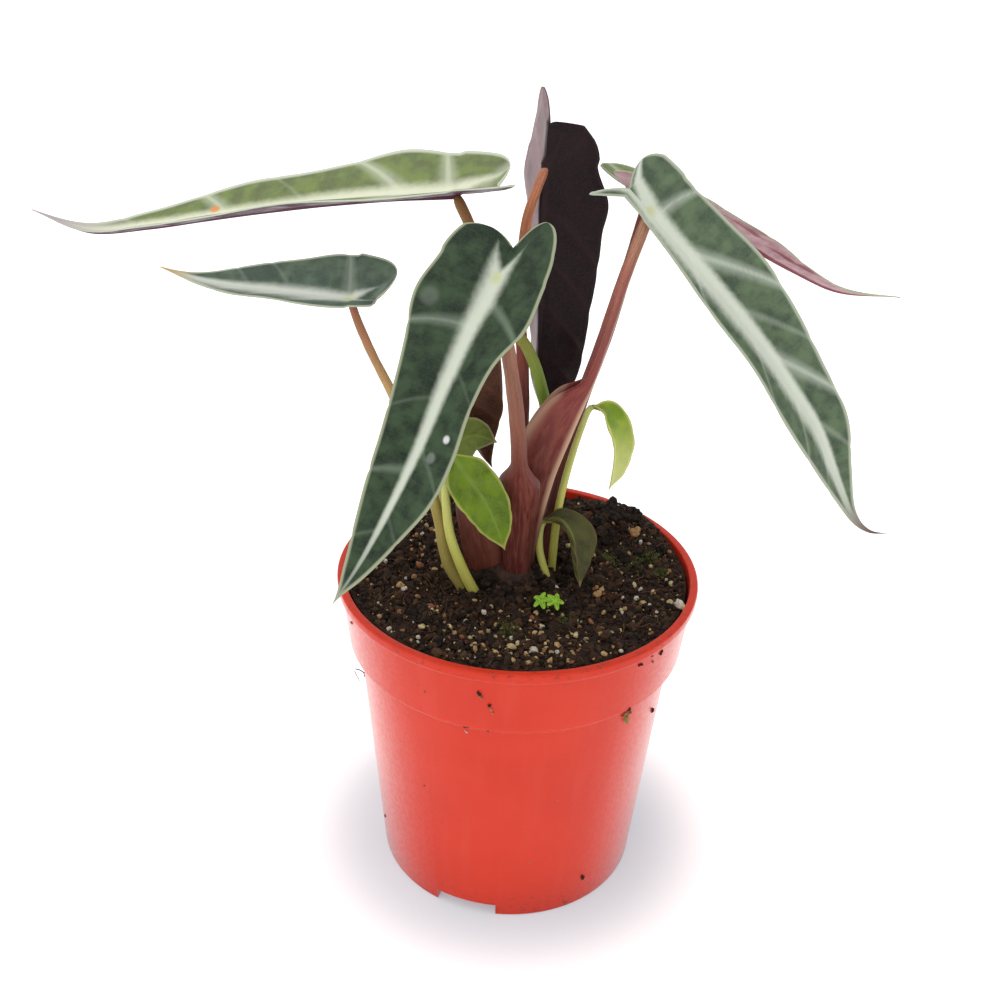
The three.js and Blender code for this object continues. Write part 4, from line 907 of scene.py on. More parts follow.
freshUnder = {"skin": (0.20, 0.27, 0.06), "dark": (0.14, 0.20, 0.04), "fleck": (0.26, 0.30, 0.10),
              "vein": (0.28, 0.34, 0.12), "rib": (0.30, 0.36, 0.12), "rim": (0.38, 0.38, 0.12)}
freshStem = {"line": (0.64, 0.66, 0.20), "shade": (0.40, 0.35, 0.07), "streak": 0.3,
             "shades": [(0, (0.40, 0.32, 0.05)), (0.35, (0.62, 0.62, 0.13)), (1, (0.66, 0.72, 0.26))]}

suckers = {
    "front": {
        "spine": [(-17, -10, 122.4), (-12.9, -11.6, 117.1), (-8.7, -12.5, 111.4), (-5.6, -13.3, 105.1),
                  (-3.2, -14, 98.6)],
        "face": [(0.1, -0.85, 0.5), (0.1, -0.85, 0.5)], "right": [0, 5, 6, 5.4, 3.6, 0],
        "left": [0, 5, 5.8, 5.4, 3.6, 0], "foldRight": [14, 14], "foldLeft": [14, 14],
        "stem": {"path": [(-9.4, -11.4, 77), (-9.7, -11, 82.5), (-13.2, -11.4, 90.9), (-16.4, -11.6, 100.6),
                          (-17.6, -11.4, 110.2), (-17.8, -11, 117.4), (-17, -10.4, 122.1)],
                 "base": 1.5, "tip": 0.8},
        "top": freshTop, "under": freshUnder,
    },
    "right": {
        "spine": [(16.2, 9, 126.7), (20.4, 9, 125.4), (23.4, 8, 118.8), (23.4, 7, 111), (21.7, 6, 105.2)],
        "face": [(0.3, -0.5, 0.8), (0.6, -0.7, 0.3)], "right": [0, 3.4, 3, 2.2, 1.5, 0],
        "left": [0, 3.4, 4, 3.9, 2.6, 0], "foldRight": [24, 24], "foldLeft": [24, 24],
        "stem": {"path": [(8.2, 1.4, 77), (8.4, 1.8, 84.5), (9.2, 3.4, 99), (11, 5.2, 110), (13.8, 7.2, 121),
                          (16.2, 9, 126.4)],
                 "base": 1.2, "tip": 0.7},
        "top": {**freshTop, "green": (0.34, 0.46, 0.035), "dark": (0.17, 0.30, 0.02),
                "rim": (0.62, 0.64, 0.20), "tip": (0.74, 0.76, 0.30), "tipFrom": 0.2, "tips": 0.9},
        "under": freshUnder,
    },
    "low": {
        "spine": [(5.4, 1.5, 98.6), (9.6, -0.8, 100.2), (12.8, -4, 97.9), (14.1, -7.8, 93),
                  (15.4, -10.6, 87)],
        "face": [(0.3, -0.4, 0.9), (0.8, -0.5, 0.3)], "right": [0, 3.4, 4.4, 4.2, 2.8, 0],
        "left": [0, 4, 6.4, 6.6, 4.4, 0], "foldRight": [56, 56], "foldLeft": [14, 14],
        "stem": {"path": [(7.6, -3.6, 77), (7.4, -3.4, 83.8), (5.2, -1, 91.3), (5.5, 1.3, 97.4)], "base": 1.1,
                 "tip": 0.8},
        "top": {**freshTop, "green": (0.085, 0.095, 0.024), "dark": (0.045, 0.052, 0.016),
                "fleck": (0.13, 0.10, 0.045), "rim": (0.13, 0.09, 0.035), "vein": (0.10, 0.10, 0.06)},
        "under": {**freshUnder, "skin": (0.09, 0.06, 0.03), "dark": (0.05, 0.03, 0.02)},
    },
    "back": {
        "spine": [(-19, 4.4, 112.4), (-16, 4.6, 117.2), (-11.6, 4.4, 119.4), (-6.2, 3.4, 118.4)],
        "face": [(0.2, -0.8, 0.5), (0.2, -0.8, 0.5)], "right": [0, 4.4, 5.2, 4.8, 3, 0],
        "left": [0, 4.4, 5.2, 4.8, 3, 0], "foldRight": [16, 16], "foldLeft": [16, 16],
        "stem": {"path": [(-13.5, -2.4, 77), (-14.6, -2, 84), (-18, -1, 94), (-20, 1, 104),
                          (-19, 4.2, 112.2)],
                 "base": 1.1, "tip": 0.8},
        "top": {**freshTop, "green": (0.16, 0.20, 0.05), "dark": (0.09, 0.12, 0.03),
                "rim": (0.32, 0.30, 0.16)},
        "under": freshUnder,
    },
}

for name, sucker in suckers.items():
    leaf = {**blade, **suckerForm, **sucker}
    topSkin = leafTop(f"youngTop.{name}", leaf["top"])
    underSkin = leafUnder(f"youngUnder.{name}", leaf["under"])
    mesh = bladeMesh(f"sucker_{name}", leaf, topSkin, underSkin)
    rib, _ = onLine(leaf["line"], leaf["rib"])
    stem = {**sucker["stem"], "path": [*sucker["stem"]["path"], tuple(rib)], "outward": (0, -1, 0)}
    points, faces, run, grain = stalkPoints(stem, suckerForm["stemRings"])
    stemMesh = meshOf("stem", underBlade(points, leaf), faces, [stalkSkin(f"youngStem.{name}", freshStem)],
                      marks={"run": run, "grain": grain})
    addPiece(f"sucker_{name}", mesh, "sucker", f"sucker_leaf_{name}")
    addPiece(f"sucker_stem_{name}", weld(stemMesh), "sucker")
print("young leaves ready")


# pot: turned wall with a collar and lip, notches in the foot and holes in the floor

pot = {
    "sides": 216, "collar": 18, "collarTop": 43.9, "collarFoot": 42.2, "shoulder": 2.5, "bodyTop": 39.6,
    "base": 33.65, "foot": 2.1, "wall": 1.5, "floorLift": 3.5, "lip": 2.4, "rounding": 0.55,
    "notches": {"width": 16, "height": 3.5, "count": 3, "first": 253},
    "holes": {"radius": 3.5, "ring": 22, "count": 6, "first": 11.5}, "skin": (0.64, 0.036, 0.012),
    "deep": (0.59, 0.030, 0.010), "pale": (0.66, 0.06, 0.035), "grime": (0.10, 0.035, 0.02),
    "rough": (0.30, 0.42), "footGrime": 12, "lipGrime": 6,
}


def filleted(corners, steps=5):  # corners as radius, height and rounding
    line = []
    for k, (r, z, size) in enumerate(corners):
        here = np.array([r, z], float)
        if size == 0:
            line.append(here)
            continue
        before = np.array(corners[k - 1][:2]) - here
        after = np.array(corners[(k + 1) % len(corners)][:2]) - here
        a, b = unit(before), unit(after)
        half = math.acos(np.clip(np.dot(a, b), -1, 1)) / 2
        cut = min(size / math.tan(half), 0.45 * np.linalg.norm(before), 0.45 * np.linalg.norm(after))
        for t in np.linspace(0, 1, steps + 1):
            line.append((1 - t) ** 2 * (here + a * cut) + 2 * t * (1 - t) * here + t * t * (here + b * cut))
    return np.array(line)


def turnedPoints(profile, sides, centre=(0, 0)):
    angle = 2 * math.pi * np.arange(sides) / sides
    r, z = profile[:, :1], profile[:, 1:]
    grid = np.stack([r * np.cos(angle) + centre[0], r * np.sin(angle) + centre[1], z + 0 * angle], -1)
    i, j = np.meshgrid(np.arange(len(profile) - 1), np.arange(sides), indexing="ij")
    a, b = i * sides + j, i * sides + (j + 1) % sides
    faces = np.stack([a, b, b + sides, a + sides], -1).reshape(-1, 4)
    return grid.reshape(-1, 3), faces.tolist()


def cutWith(mesh, cutterMesh):  # the mesh less the cutter, applied
    body = bpy.data.objects.new("body", mesh)
    cutter = bpy.data.objects.new("cutter", cutterMesh)
    for thing in (body, cutter):
        bpy.context.scene.collection.objects.link(thing)
    step = body.modifiers.new("cut", "BOOLEAN")
    step.operation = "DIFFERENCE"
    step.solver = "EXACT"
    step.object = cutter
    bpy.context.view_layer.update()
    done = bpy.data.meshes.new_from_object(body.evaluated_get(bpy.context.evaluated_depsgraph_get()))
    for thing in (body, cutter):
        bpy.data.objects.remove(thing)
    return done


def cutterMesh():
    bm = bmesh.new()
    notches, holes = pot["notches"], pot["holes"]
    for k in range(notches["count"]):
        turn = Matrix.Rotation(math.radians(notches["first"] + 360 / notches["count"] * k), 4, "Z")
        shift = Matrix.Translation((pot["base"] - pot["foot"] / 2, 0, 0))
        size = Matrix.Diagonal((4 * pot["foot"], notches["width"], 2 * notches["height"], 1))
        bmesh.ops.create_cube(bm, size=1, matrix=turn @ shift @ size)
    for k in range(holes["count"]):
        turn = Matrix.Rotation(math.radians(holes["first"] + 360 / holes["count"] * k), 4, "Z")
        shift = Matrix.Translation((holes["ring"], 0, pot["floorLift"] + pot["wall"] / 2))
        bmesh.ops.create_cone(bm, cap_ends=True, segments=36, radius1=holes["radius"],
                              radius2=holes["radius"], depth=4 * pot["wall"], matrix=turn @ shift)
    for v in bm.verts:
        v.co = Vector(toFrame(v.co))
    mesh = bpy.data.meshes.new("cutter")
    bm.to_mesh(mesh)
    bm.free()
    return mesh


def potSkin():
    material, tree, shader = newMaterial("potSkin")
    spots = useGroup(tree, mottle, Scale=34.0, Speck=900.0)
    place = objectPlace(tree)
    upright = put(tree, "ShaderNodeMapping", {"Vector": place, "Scale": (1, 1, 0.06)}).outputs["Vector"]
    flow = put(tree, "ShaderNodeTexNoise", {"Vector": upright, "Scale": 260.0, "Detail": 3.0}).outputs["Fac"]
    height = partsOf(tree, place)["Z"]
    skin = blendColor(tree, spots["Blotch"], pot["deep"], pot["skin"])
    skin = wash(tree, skin, ramp(tree, flow, 0.5, 0.75), 0.25, pot["pale"])
    dust = put(tree, "ShaderNodeTexNoise", {"Vector": place, "Scale": 700.0, "Detail": 5.0, "Roughness": 0.7})
    low = ramp(tree, height, pot["footGrime"] * mm, 0.0)
    lip = ramp(tree, height, (potHeight - pot["lipGrime"]) * mm, potHeight * mm)
    grimy = math2(tree, "MULTIPLY", ramp(tree, dust.outputs["Fac"], 0.52, 0.72), math2(tree, "ADD", low, lip))
    skin = wash(tree, skin, grimy, 0.7, pot["grime"])
    skin = wash(tree, skin, ramp(tree, dust.outputs["Fac"], 0.70, 0.76), 0.5, pot["grime"])
    tree.links.new(skin, shader.inputs["Base Color"])
    tree.links.new(ramp(tree, spots["Speckle"], 0, 1, pot["rough"]), shader.inputs["Roughness"])
    facing = put(tree, "ShaderNodeLayerWeight", {"Blend": 0.5}).outputs["Facing"]
    upward = ramp(tree, partsOf(tree, put(tree, "ShaderNodeNewGeometry").outputs["Normal"])["Z"], -0.55, -0.2)
    facing = math2(tree, "MULTIPLY", facing, upward)  # the white floor shines in nothing that looks down
    tree.links.new(ramp(tree, facing, 0.45, 0.95, (0.22, 1.0)), shader.inputs["Specular IOR Level"])
    tree.links.new(ramp(tree, facing, 0.5, 0.95, (0.0, 0.9)), shader.inputs["Coat Weight"])
    shader.inputs["Coat Roughness"].default_value = 0.3
    raised = math2(tree, "ADD", math2(tree, "MULTIPLY", flow, 0.6),
                   math2(tree, "MULTIPLY", spots["Speckle"], 0.3))
    addBump(tree, shader, raised, 0.25, 0.0001)
    return material


def makePot():
    p = pot
    ledge = potHeight - p["collar"]
    soft = p["rounding"]
    corners = [
        (0, p["floorLift"] + p["wall"], 0), (0, p["floorLift"], 0),
        (p["base"] - p["foot"] - soft, p["floorLift"], 0.3), (p["base"] - p["foot"], 0, 0.3),
        (p["base"], 0, 0.5), (p["bodyTop"], ledge - p["shoulder"], 1.2), (p["collarFoot"], ledge, 0.9),
        (p["collarTop"], potHeight - p["lip"] - soft, 1.2), (rimRadius, potHeight - p["lip"], 1.2),
        (rimRadius, potHeight, 0.6), (p["collarTop"] - p["wall"] + soft, potHeight, 0.5),
        (p["collarTop"] - p["wall"], potHeight - 2 * p["lip"], 0.6),
        (p["collarFoot"] - p["wall"], ledge, 0.9), (p["bodyTop"] - p["wall"], ledge - p["shoulder"], 0.9),
        (p["base"] - p["wall"], p["floorLift"] + p["wall"], 0.8), (0, p["floorLift"] + p["wall"], 0),
    ]
    points, faces = turnedPoints(filleted(corners), p["sides"])
    mesh = cutWith(weld(meshOf("pot", points, faces, [potSkin()])), cutterMesh())
    mesh.polygons.foreach_set("use_smooth", np.ones(len(mesh.polygons), bool))
    mesh.set_sharp_from_angle(angle=math.radians(40))
    addPiece("pot_shell", mesh, "pot", "pot")


makePot()
print("pot ready")


# soil: one bed with a rough top, then crumbs, grit, fibres and moss on it

# under: radius and height inside the wall; mound and dip: x, y, rise and spread; colors: dark, brown, warm
soil = {
    "level": 83.8, "radius": 42.1, "sides": 300, "rings": 150, "fallTo": 43.7,
    "under": [(0, 5.3), (31.85, 5.3), (37.8, 64.5), (40.4, 67), (42.1, 79)], "mound": (24, 22, 4.6, 190),
    "dip": (8, 38, -1.2, 120), "relief": 0.95, "reliefScale": 0.16, "fine": 0.42, "fineScale": 0.75,
    "pits": 0.9, "colors": ((0.005, 0.003, 0.002), (0.026, 0.014, 0.008), (0.075, 0.032, 0.015)),
    "algae": (0.05, 0.08, 0.018),
}


def soilHeight(x, y):
    fall = 1 - np.minimum(1, np.hypot(x, y) / soil["fallTo"]) ** 4
    lumps = 0.8 * np.sin(x * 0.31 + 1.3) * np.cos(y * 0.27) + 0.5 * np.sin(x * 0.83 + y * 0.61)
    height = soil["level"] + fall * lumps
    for px, py, rise, spread in (soil["mound"], soil["dip"]):
        height = height + rise * np.exp(-((x - px) ** 2 + (y - py) ** 2) / spread)
    return height


def soilSkin(name, dark, brown, warm, rough=0.95):
    material, tree, shader = newMaterial(name)
    spots = useGroup(tree, mottle, Scale=900.0, Speck=3200.0)
    part = partsOf(tree, readMark(tree, "tint"))
    skin = blendColor(tree, spots["Blotch"], dark, brown)
    skin = wash(tree, skin, part["X"], 0.8, warm)
    skin = wash(tree, skin, spots["Speckle"], 0.35, dark)
    skin = blendColor(tree, part["Y"], skin, soil["algae"])
    tree.links.new(skin, shader.inputs["Base Color"])
    shader.inputs["Roughness"].default_value = rough
    shader.inputs["Specular IOR Level"].default_value = 0.3
    raised = math2(tree, "ADD", spots["Blotch"], math2(tree, "MULTIPLY", spots["Speckle"], 0.5))
    addBump(tree, shader, raised, 0.8, 0.0004)
    return material


def tints(x, y=0):  # the tint mark of a mesh: warmth or tone, and a second colour
    return {"tint": np.stack([x, x * 0 + y, x * 0], -1)}


def makeBed():
    s = soil
    rings = s["radius"] * (1 - np.linspace(0, 1, s["rings"]))
    profile = np.vstack([s["under"], np.stack([rings, 0 * rings + s["level"]], -1)])
    points, faces = turnedPoints(profile, s["sides"])
    top = np.arange(len(points)) >= len(s["under"]) * s["sides"]
    x, y = points[top, 0], points[top, 1]
    flat = np.stack([x, y, 0 * x], -1)
    rough = s["relief"] * ruffle(flat, s["reliefScale"], 3) + s["fine"] * ruffle(flat, s["fineScale"], 3, 7.0)
    pits = -s["pits"] * np.clip(ruffle(flat, 0.42, 2, 3.0) - 0.25, 0, 1)
    away = np.clip((s["radius"] - np.hypot(x, y)) / 3, 0, 1)
    points[top, 2] = soilHeight(x, y) + (rough + pits) * mix(0.6, 1, away)
    warm = np.clip(0.5 + 0.8 * ruffle(points, 0.5, 3, 11.0), 0, 1) * top
    green = np.zeros(len(points))
    for mx, my, size in moss["patches"]:
        spread = ((points[:, 0] - mx) ** 2 + (points[:, 1] - my) ** 2) / size ** 2
        green = np.maximum(green, np.exp(-spread) * 0.35)
    skin = soilSkin("soilBed", *s["colors"])
    mesh = meshOf("soil_bed", points, faces, [skin], marks=tints(warm, green * top))
    addPiece("soil_bed", weld(mesh), "soil", "soil")


def icoShape(detail):
    bm = bmesh.new()
    bmesh.ops.create_icosphere(bm, subdivisions=detail, radius=1)
    points = np.array([v.co[:] for v in bm.verts])
    faces = np.array([[v.index for v in f.verts] for f in bm.faces])
    bm.free()
    return points, faces


def spin(draw):  # a random turn
    axis = Vector((draw.uniform(-1, 1), draw.uniform(-1, 1), draw.uniform(-1, 1))).normalized()
    return np.array(Matrix.Rotation(draw.uniform(0, 6.28), 3, axis))


def lumps(draw, places, detail, bumpy):  # places as x, y, z, size and flatness; one mesh of broken lumps
    shape, faces = icoShape(detail)
    points, allFaces = [], []
    for count, (x, y, z, size, flat) in enumerate(places):
        jitter = 1 + bumpy * np.array([draw.uniform(-1, 1) for _ in shape])
        stretch = np.array([draw.uniform(0.7, 1.3), draw.uniform(0.6, 1.1), flat])
        lump = shape * jitter[:, None] * size * stretch @ spin(draw).T
        points.append(lump + (x, y, z))
        allFaces.append(faces + count * len(shape))
    return np.vstack(points), np.vstack(allFaces).tolist(), len(shape)


def ground(x, y):
    return float(soilHeight(x, y))


def scatterPlaces(draw, count, low, high, sizes, flat=(0.6, 1.0), sink=0.25):
    places = []
    while len(places) < count:
        reach = mix(low, high, math.sqrt(draw.random()))
        angle = draw.uniform(0, 2 * math.pi)
        x, y = reach * math.cos(angle), reach * math.sin(angle)
        size = mix(sizes[0], sizes[1], draw.random() ** 2.2)
        if reach + size > soil["radius"] - 0.1:
            continue
        places.append((x, y, ground(x, y) + size * sink, size, draw.uniform(*flat)))
    return places


# the patches' x, y and size
moss = {"patches": [(29.5, 5.6, 3.4), (23.2, 6.5, 2.6), (33.4, 7.4, 2.4), (36, 1.5, 1.6), (-2, -27, 2.0),
                    (13, -20, 2.2)],
        "tufts": 300, "leaflets": 6, "seed": 17, "green": (0.17, 0.20, 0.025), "dark": (0.05, 0.07, 0.012)}

# the outline's radius, and its height as a share of the crown's
corm = {"foot": 60, "top": 88, "place": (-1.2, -3.6), "sides": 72, "rounding": 0.7, "rough": 0.35,
        "outline": [(0, 0), (2.6, 0), (6.2, 0.22), (5.8, 0.3), (7.8, 0.5), (7.4, 0.58), (8.5, 0.76),
                    (8, 0.84), (6.4, 0.93), (3.5, 0.985), (0, 1)],
        "bark": (0.06, 0.025, 0.013), "dark": (0.016, 0.007, 0.005), "papery": (0.14, 0.06, 0.03)}

crumbs = {"fine": 6800, "coarse": 900, "clods": 96, "clodsAt": (24, 21), "clodsSpread": (6, 5), "heap": 190,
          "heapReach": (5.2, 11.5), "heapRise": 2.6, "seed": 21,
          "colors": ((0.004, 0.0025, 0.002), (0.034, 0.020, 0.012), (0.13, 0.065, 0.030))}


def makeCrumbs():
    draw = random.Random(crumbs["seed"])
    skin = soilSkin("soilCrumb", *crumbs["colors"])
    sets = [
        ("soil_crumbs_fine", scatterPlaces(draw, crumbs["fine"], 3, 41.8, (0.3, 1.0)), 1, 0.28),
        ("soil_crumbs_coarse", scatterPlaces(draw, crumbs["coarse"], 6, 41, (0.6, 1.6)), 1, 0.34),
    ]
    clods = []
    for _ in range(crumbs["clods"]):
        x, y = [at + draw.gauss(0, spread) for at, spread in zip(crumbs["clodsAt"], crumbs["clodsSpread"])]
        if math.hypot(x, y) < 40.5:
            size = draw.uniform(0.6, 1.9)
            clods.append((x, y, ground(x, y) + size * 0.45, size, draw.uniform(0.7, 1.0)))
    sets.append(("soil_clods", clods, 2, 0.34))
    heap = []  # crumbs heaped against the crown
    near, far = crumbs["heapReach"]
    for _ in range(crumbs["heap"]):
        reach, turn, size = draw.uniform(near, far), draw.uniform(0, 6.28), draw.uniform(0.5, 1.5)
        x, y = corm["place"][0] + reach * math.cos(turn), corm["place"][1] + reach * math.sin(turn)
        rise = max(0, 1 - ((reach - near) / 5.6) ** 2) * crumbs["heapRise"]
        heap.append((x, y, ground(x, y) + rise, size, draw.uniform(0.6, 1.0)))
    sets.append(("soil_heap", heap, 2, 0.22))
    for name, places, detail, bumpy in sets:
        points, faces, each = lumps(draw, places, detail, bumpy)
        warm = np.repeat([draw.random() ** (5 if name == "soil_clods" else 2.8) for _ in places], each)
        addPiece(name, meshOf(name, points, faces, [skin], marks=tints(warm), rounded=False), "soil")


# the placed grains' x, y, size and tone: 0 cream, 0.5 tan, 1 orange
grit = {
    "seed": 5, "loose": 640, "fore": 150, "foreAt": (3, -30), "foreSpread": (13, 6),
    "placed": [(-24.6, 0.6, 1.1, 0.9), (-24.1, -14.0, 0.9, 0.7), (-28.5, -10.8, 1.2, 0.5),
               (-27.6, -20.7, 1.0, 0.8), (-15.3, -26.4, 0.9, 0.05), (-10.4, -29.7, 0.8, 0.2),
               (-9.3, -32.8, 0.7, 0.2), (-0.6, -32.2, 1.1, 0.15), (4.5, -33.7, 0.9, 0.3),
               (5.0, -34.1, 0.6, 0.1), (8.7, -34.2, 0.9, 0.3), (9.8, -34.5, 0.7, 0.2),
               (-0.4, -38.0, 0.9, 0.3), (7.5, -32.7, 0.8, 0.45), (9.8, -32.5, 1.0, 0.35),
               (14.3, -27.4, 0.8, 0.1), (16.6, -28.8, 0.7, 0.1), (37.3, -11.6, 1.3, 0.2),
               (39.5, -12.3, 1.4, 0.05), (40.2, -12.6, 1.0, 0.1), (19.9, -8.1, 1.0, 0.4),
               (20.9, -7.2, 0.8, 0.3), (30.7, -12.6, 0.8, 0.3), (33.5, -7.0, 0.8, 0.1),
               (38.2, -3.0, 0.8, 0.1), (33.7, 4.5, 0.7, 0.2), (30.6, 17.6, 1.1, 0.5), (29.6, 14.5, 1.5, 0.7),
               (-3.4, -36.9, 0.7, 0.3), (3.4, -38.2, 0.8, 0.35), (-25.5, -5.5, 1.0, 0.75),
               (-20.5, -18.0, 1.0, 0.9)],
    "cream": (0.68, 0.56, 0.28), "tan": (0.46, 0.28, 0.11), "orange": (0.26, 0.08, 0.025),
    "white": (0.66, 0.62, 0.50), "shade": (0.09, 0.05, 0.03),
}


def makeGrit():
    draw = random.Random(grit["seed"])
    material, tree, shader = newMaterial("gritStone")
    spots = useGroup(tree, mottle, Scale=1400.0, Speck=4000.0)
    part = partsOf(tree, readMark(tree, "tint"))
    skin = blendColor(tree, ramp(tree, part["X"], 0.0, 0.45), grit["cream"], grit["tan"])
    skin = blendColor(tree, ramp(tree, part["X"], 0.5, 0.95), skin, grit["orange"])
    skin = blendColor(tree, part["Y"], skin, grit["white"])
    skin = wash(tree, skin, spots["Blotch"], 0.3, grit["shade"])
    tree.links.new(skin, shader.inputs["Base Color"])
    shader.inputs["Roughness"].default_value = 0.8
    addBump(tree, shader, spots["Speckle"], 0.6, 0.0002)
    places, tones = [], []
    for x, y, size, shade in grit["placed"]:
        places.append((x, y, ground(x, y) + size * 0.55, size, 0.75))
        tones.append(shade)
    for x, y, z, size, flat in scatterPlaces(draw, grit["loose"], 8, 41, (0.2, 0.75), sink=0.6):
        places.append((x, y, z + 0.2, size, flat))
        tones.append(min(1, draw.random() ** 0.9))
    for _ in range(grit["fore"]):  # more of it lies at the front
        x, y = [draw.gauss(at, spread) for at, spread in zip(grit["foreAt"], grit["foreSpread"])]
        size = draw.uniform(0.22, 0.7)
        if math.hypot(x, y) < 40:
            places.append((x, y, ground(x, y) + size * 0.6, size, draw.uniform(0.6, 1)))
            tones.append(draw.uniform(0, 0.5))
    points, faces, each = lumps(draw, places, 2, 0.2)
    white = [1.0 if draw.random() < 0.15 else 0.0 for _ in places]
    marks = tints(np.repeat(tones, each), np.repeat(white, each))
    addPiece("soil_grit", meshOf("soil_grit", points, faces, [material], marks=marks, rounded=False), "soil")


def threadPoints(paths, sides=5):  # thin tubes along each path of points; widths taper to the end
    points, faces, shares = [], [], []
    for path, radius in paths:
        line = smoothLine(path)
        rings = max(6, int(line["length"] / 0.9))
        start = len(points)
        for i in range(rings):
            u = i / (rings - 1)
            centre, tangent = onLine(line, u)
            aside = unit(np.cross(tangent, (0.31, 0.17, 0.93)))
            other = np.cross(tangent, aside)
            thin = radius * mix(1, 0.4, u)
            for k in range(sides):
                a = 2 * math.pi * k / sides
                points.append(centre + thin * (math.cos(a) * aside + math.sin(a) * other))
                shares.append(u)
        for i in range(rings - 1):
            for k in range(sides):
                a, b = start + i * sides + k, start + i * sides + (k + 1) % sides
                faces.append((a, b, b + sides, a + sides))
        faces.append(tuple(start + k for k in range(sides))[::-1])
        faces.append(tuple(start + (rings - 1) * sides + k for k in range(sides)))
    return np.array(points), faces, np.array(shares)


fibres = {"count": 260, "seed": 9, "length": (3, 11), "radius": (0.08, 0.17), "steps": 5, "within": 40.8,
          "colors": ((0.03, 0.012, 0.008), (0.12, 0.045, 0.025), (0.22, 0.10, 0.05)), "rough": 0.8}


def makeFibres():
    draw = random.Random(fibres["seed"])
    paths = []
    for _ in range(fibres["count"]):
        reach, angle = mix(9, 39, math.sqrt(draw.random())), draw.uniform(0, 6.28)
        x, y = reach * math.cos(angle), reach * math.sin(angle)
        heading, long = draw.uniform(0, 6.28), draw.uniform(*fibres["length"])
        path = []
        for _ in range(fibres["steps"]):
            heading += draw.uniform(-0.7, 0.7)
            x += long / fibres["steps"] * math.cos(heading)
            y += long / fibres["steps"] * math.sin(heading)
            far = math.hypot(x, y) / fibres["within"]
            if far > 1:
                x, y = x / far, y / far
            path.append((x, y, ground(x, y) + draw.uniform(0.2, 1.3)))
        paths.append((path, draw.uniform(*fibres["radius"])))
    points, faces, _ = threadPoints(paths)
    skin = soilSkin("soilFibre", *fibres["colors"], fibres["rough"])
    warm = np.clip(0.5 + ruffle(points, 0.12, 2), 0, 1)
    addPiece("soil_fibres", meshOf("soil_fibres", points, faces, [skin], marks=tints(warm)), "soil")


def makeMoss():
    draw = random.Random(moss["seed"])
    points, faces, tones = [], [], []
    for number in range(moss["tufts"]):
        mx, my, size = moss["patches"][number % len(moss["patches"])]
        x, y = draw.gauss(mx, size * 0.6), draw.gauss(my, size * 0.6)
        base = np.array((x, y, ground(x, y) + 0.3))
        for _ in range(moss["leaflets"]):
            turn = draw.uniform(0, 6.28)
            out = np.array((math.cos(turn), math.sin(turn), draw.uniform(0.5, 1.6)))
            side = np.array((-math.sin(turn), math.cos(turn), 0))
            long, wide = draw.uniform(0.5, 1.1), draw.uniform(0.12, 0.22)
            a = len(points)
            lift = unit(out)
            for along, across, rise in ((0, 0, -0.06), (0.45, -1, 0), (0.45, 1, 0), (1, 0, 0.1),
                                        (0.45, 0, -0.09)):
                points.append(base + lift * long * along + side * wide * across + np.array((0, 0, rise)))
                tones.append(0.3 + 0.7 * along * draw.random())
            faces += [(a, a + 1, a + 3), (a, a + 3, a + 2), (a, a + 4, a + 1), (a, a + 2, a + 4),
                      (a + 4, a + 3, a + 1), (a + 4, a + 2, a + 3)]
    material, tree, shader = newMaterial("mossLeaf")
    part = partsOf(tree, readMark(tree, "tint"))
    spots = useGroup(tree, mottle, Scale=600.0, Speck=3000.0)
    skin = blendColor(tree, part["X"], moss["dark"], moss["green"])
    skin = wash(tree, skin, spots["Blotch"], 0.5, moss["dark"])
    tree.links.new(skin, shader.inputs["Base Color"])
    shader.inputs["Roughness"].default_value = 0.7
    mesh = meshOf("soil_moss", np.array(points), faces, [material], marks=tints(np.array(tones)))
    addPiece("soil_moss", mesh, "soil")


makeBed()
makeCrumbs()
makeGrit()
makeFibres()
makeMoss()
print("soil ready")


# corm: the ringed brown crown that the stalks grow from

def makeCorm():
    c = corm
    tall = c["top"] - c["foot"]
    profile = filleted([(r, c["foot"] + h * tall, c["rounding"] * (r > 0)) for r, h in c["outline"]], 4)
    points, faces = turnedPoints(profile, c["sides"], c["place"])
    out = points - np.array([*c["place"], 0])
    out[:, 2] = 0
    bulge = c["rough"] * ruffle(points, 0.5, 3) * (np.linalg.norm(out, axis=1) > 0.1)
    points = points + unit(out) * bulge[:, None]
    material, tree, shader = newMaterial("cormBark")
    spots = useGroup(tree, mottle, Scale=500.0, Speck=2200.0)
    place = objectPlace(tree)
    wave = {"Vector": place, "Scale": 260.0, "Distortion": 3.0, "Detail": 2.0}
    rings = put(tree, "ShaderNodeTexWave", wave, bands_direction="Z").outputs["Fac"]
    skin = blendColor(tree, spots["Blotch"], c["dark"], c["bark"])
    skin = wash(tree, skin, rings, 0.25, c["papery"])
    tree.links.new(skin, shader.inputs["Base Color"])
    shader.inputs["Roughness"].default_value = 0.85
    addBump(tree, shader, math2(tree, "ADD", rings, spots["Speckle"]), 0.7, 0.0004)
    addPiece("corm_crown", weld(meshOf("corm_crown", points, faces, [material])), "corm", "corm")


makeCorm()


# seedling: two small lobed leaves on one stem

seedling = {"place": (7.6, -17.5, 87), "size": 1.9, "lobes": 5, "deep": 0.62, "squeeze": 0.95, "apart": 1.5,
            "tilt": 0.5, "spread": 0.3, "rings": 10, "around": 90,
            "stem": [(0.2, 0.6, -7), (0, 0.3, -3), (0, 0, 0.2)], "stemRadius": 0.6,
            "green": (0.28, 0.52, 0.02), "dark": (0.15, 0.34, 0.01), "vein": (0.34, 0.56, 0.05)}


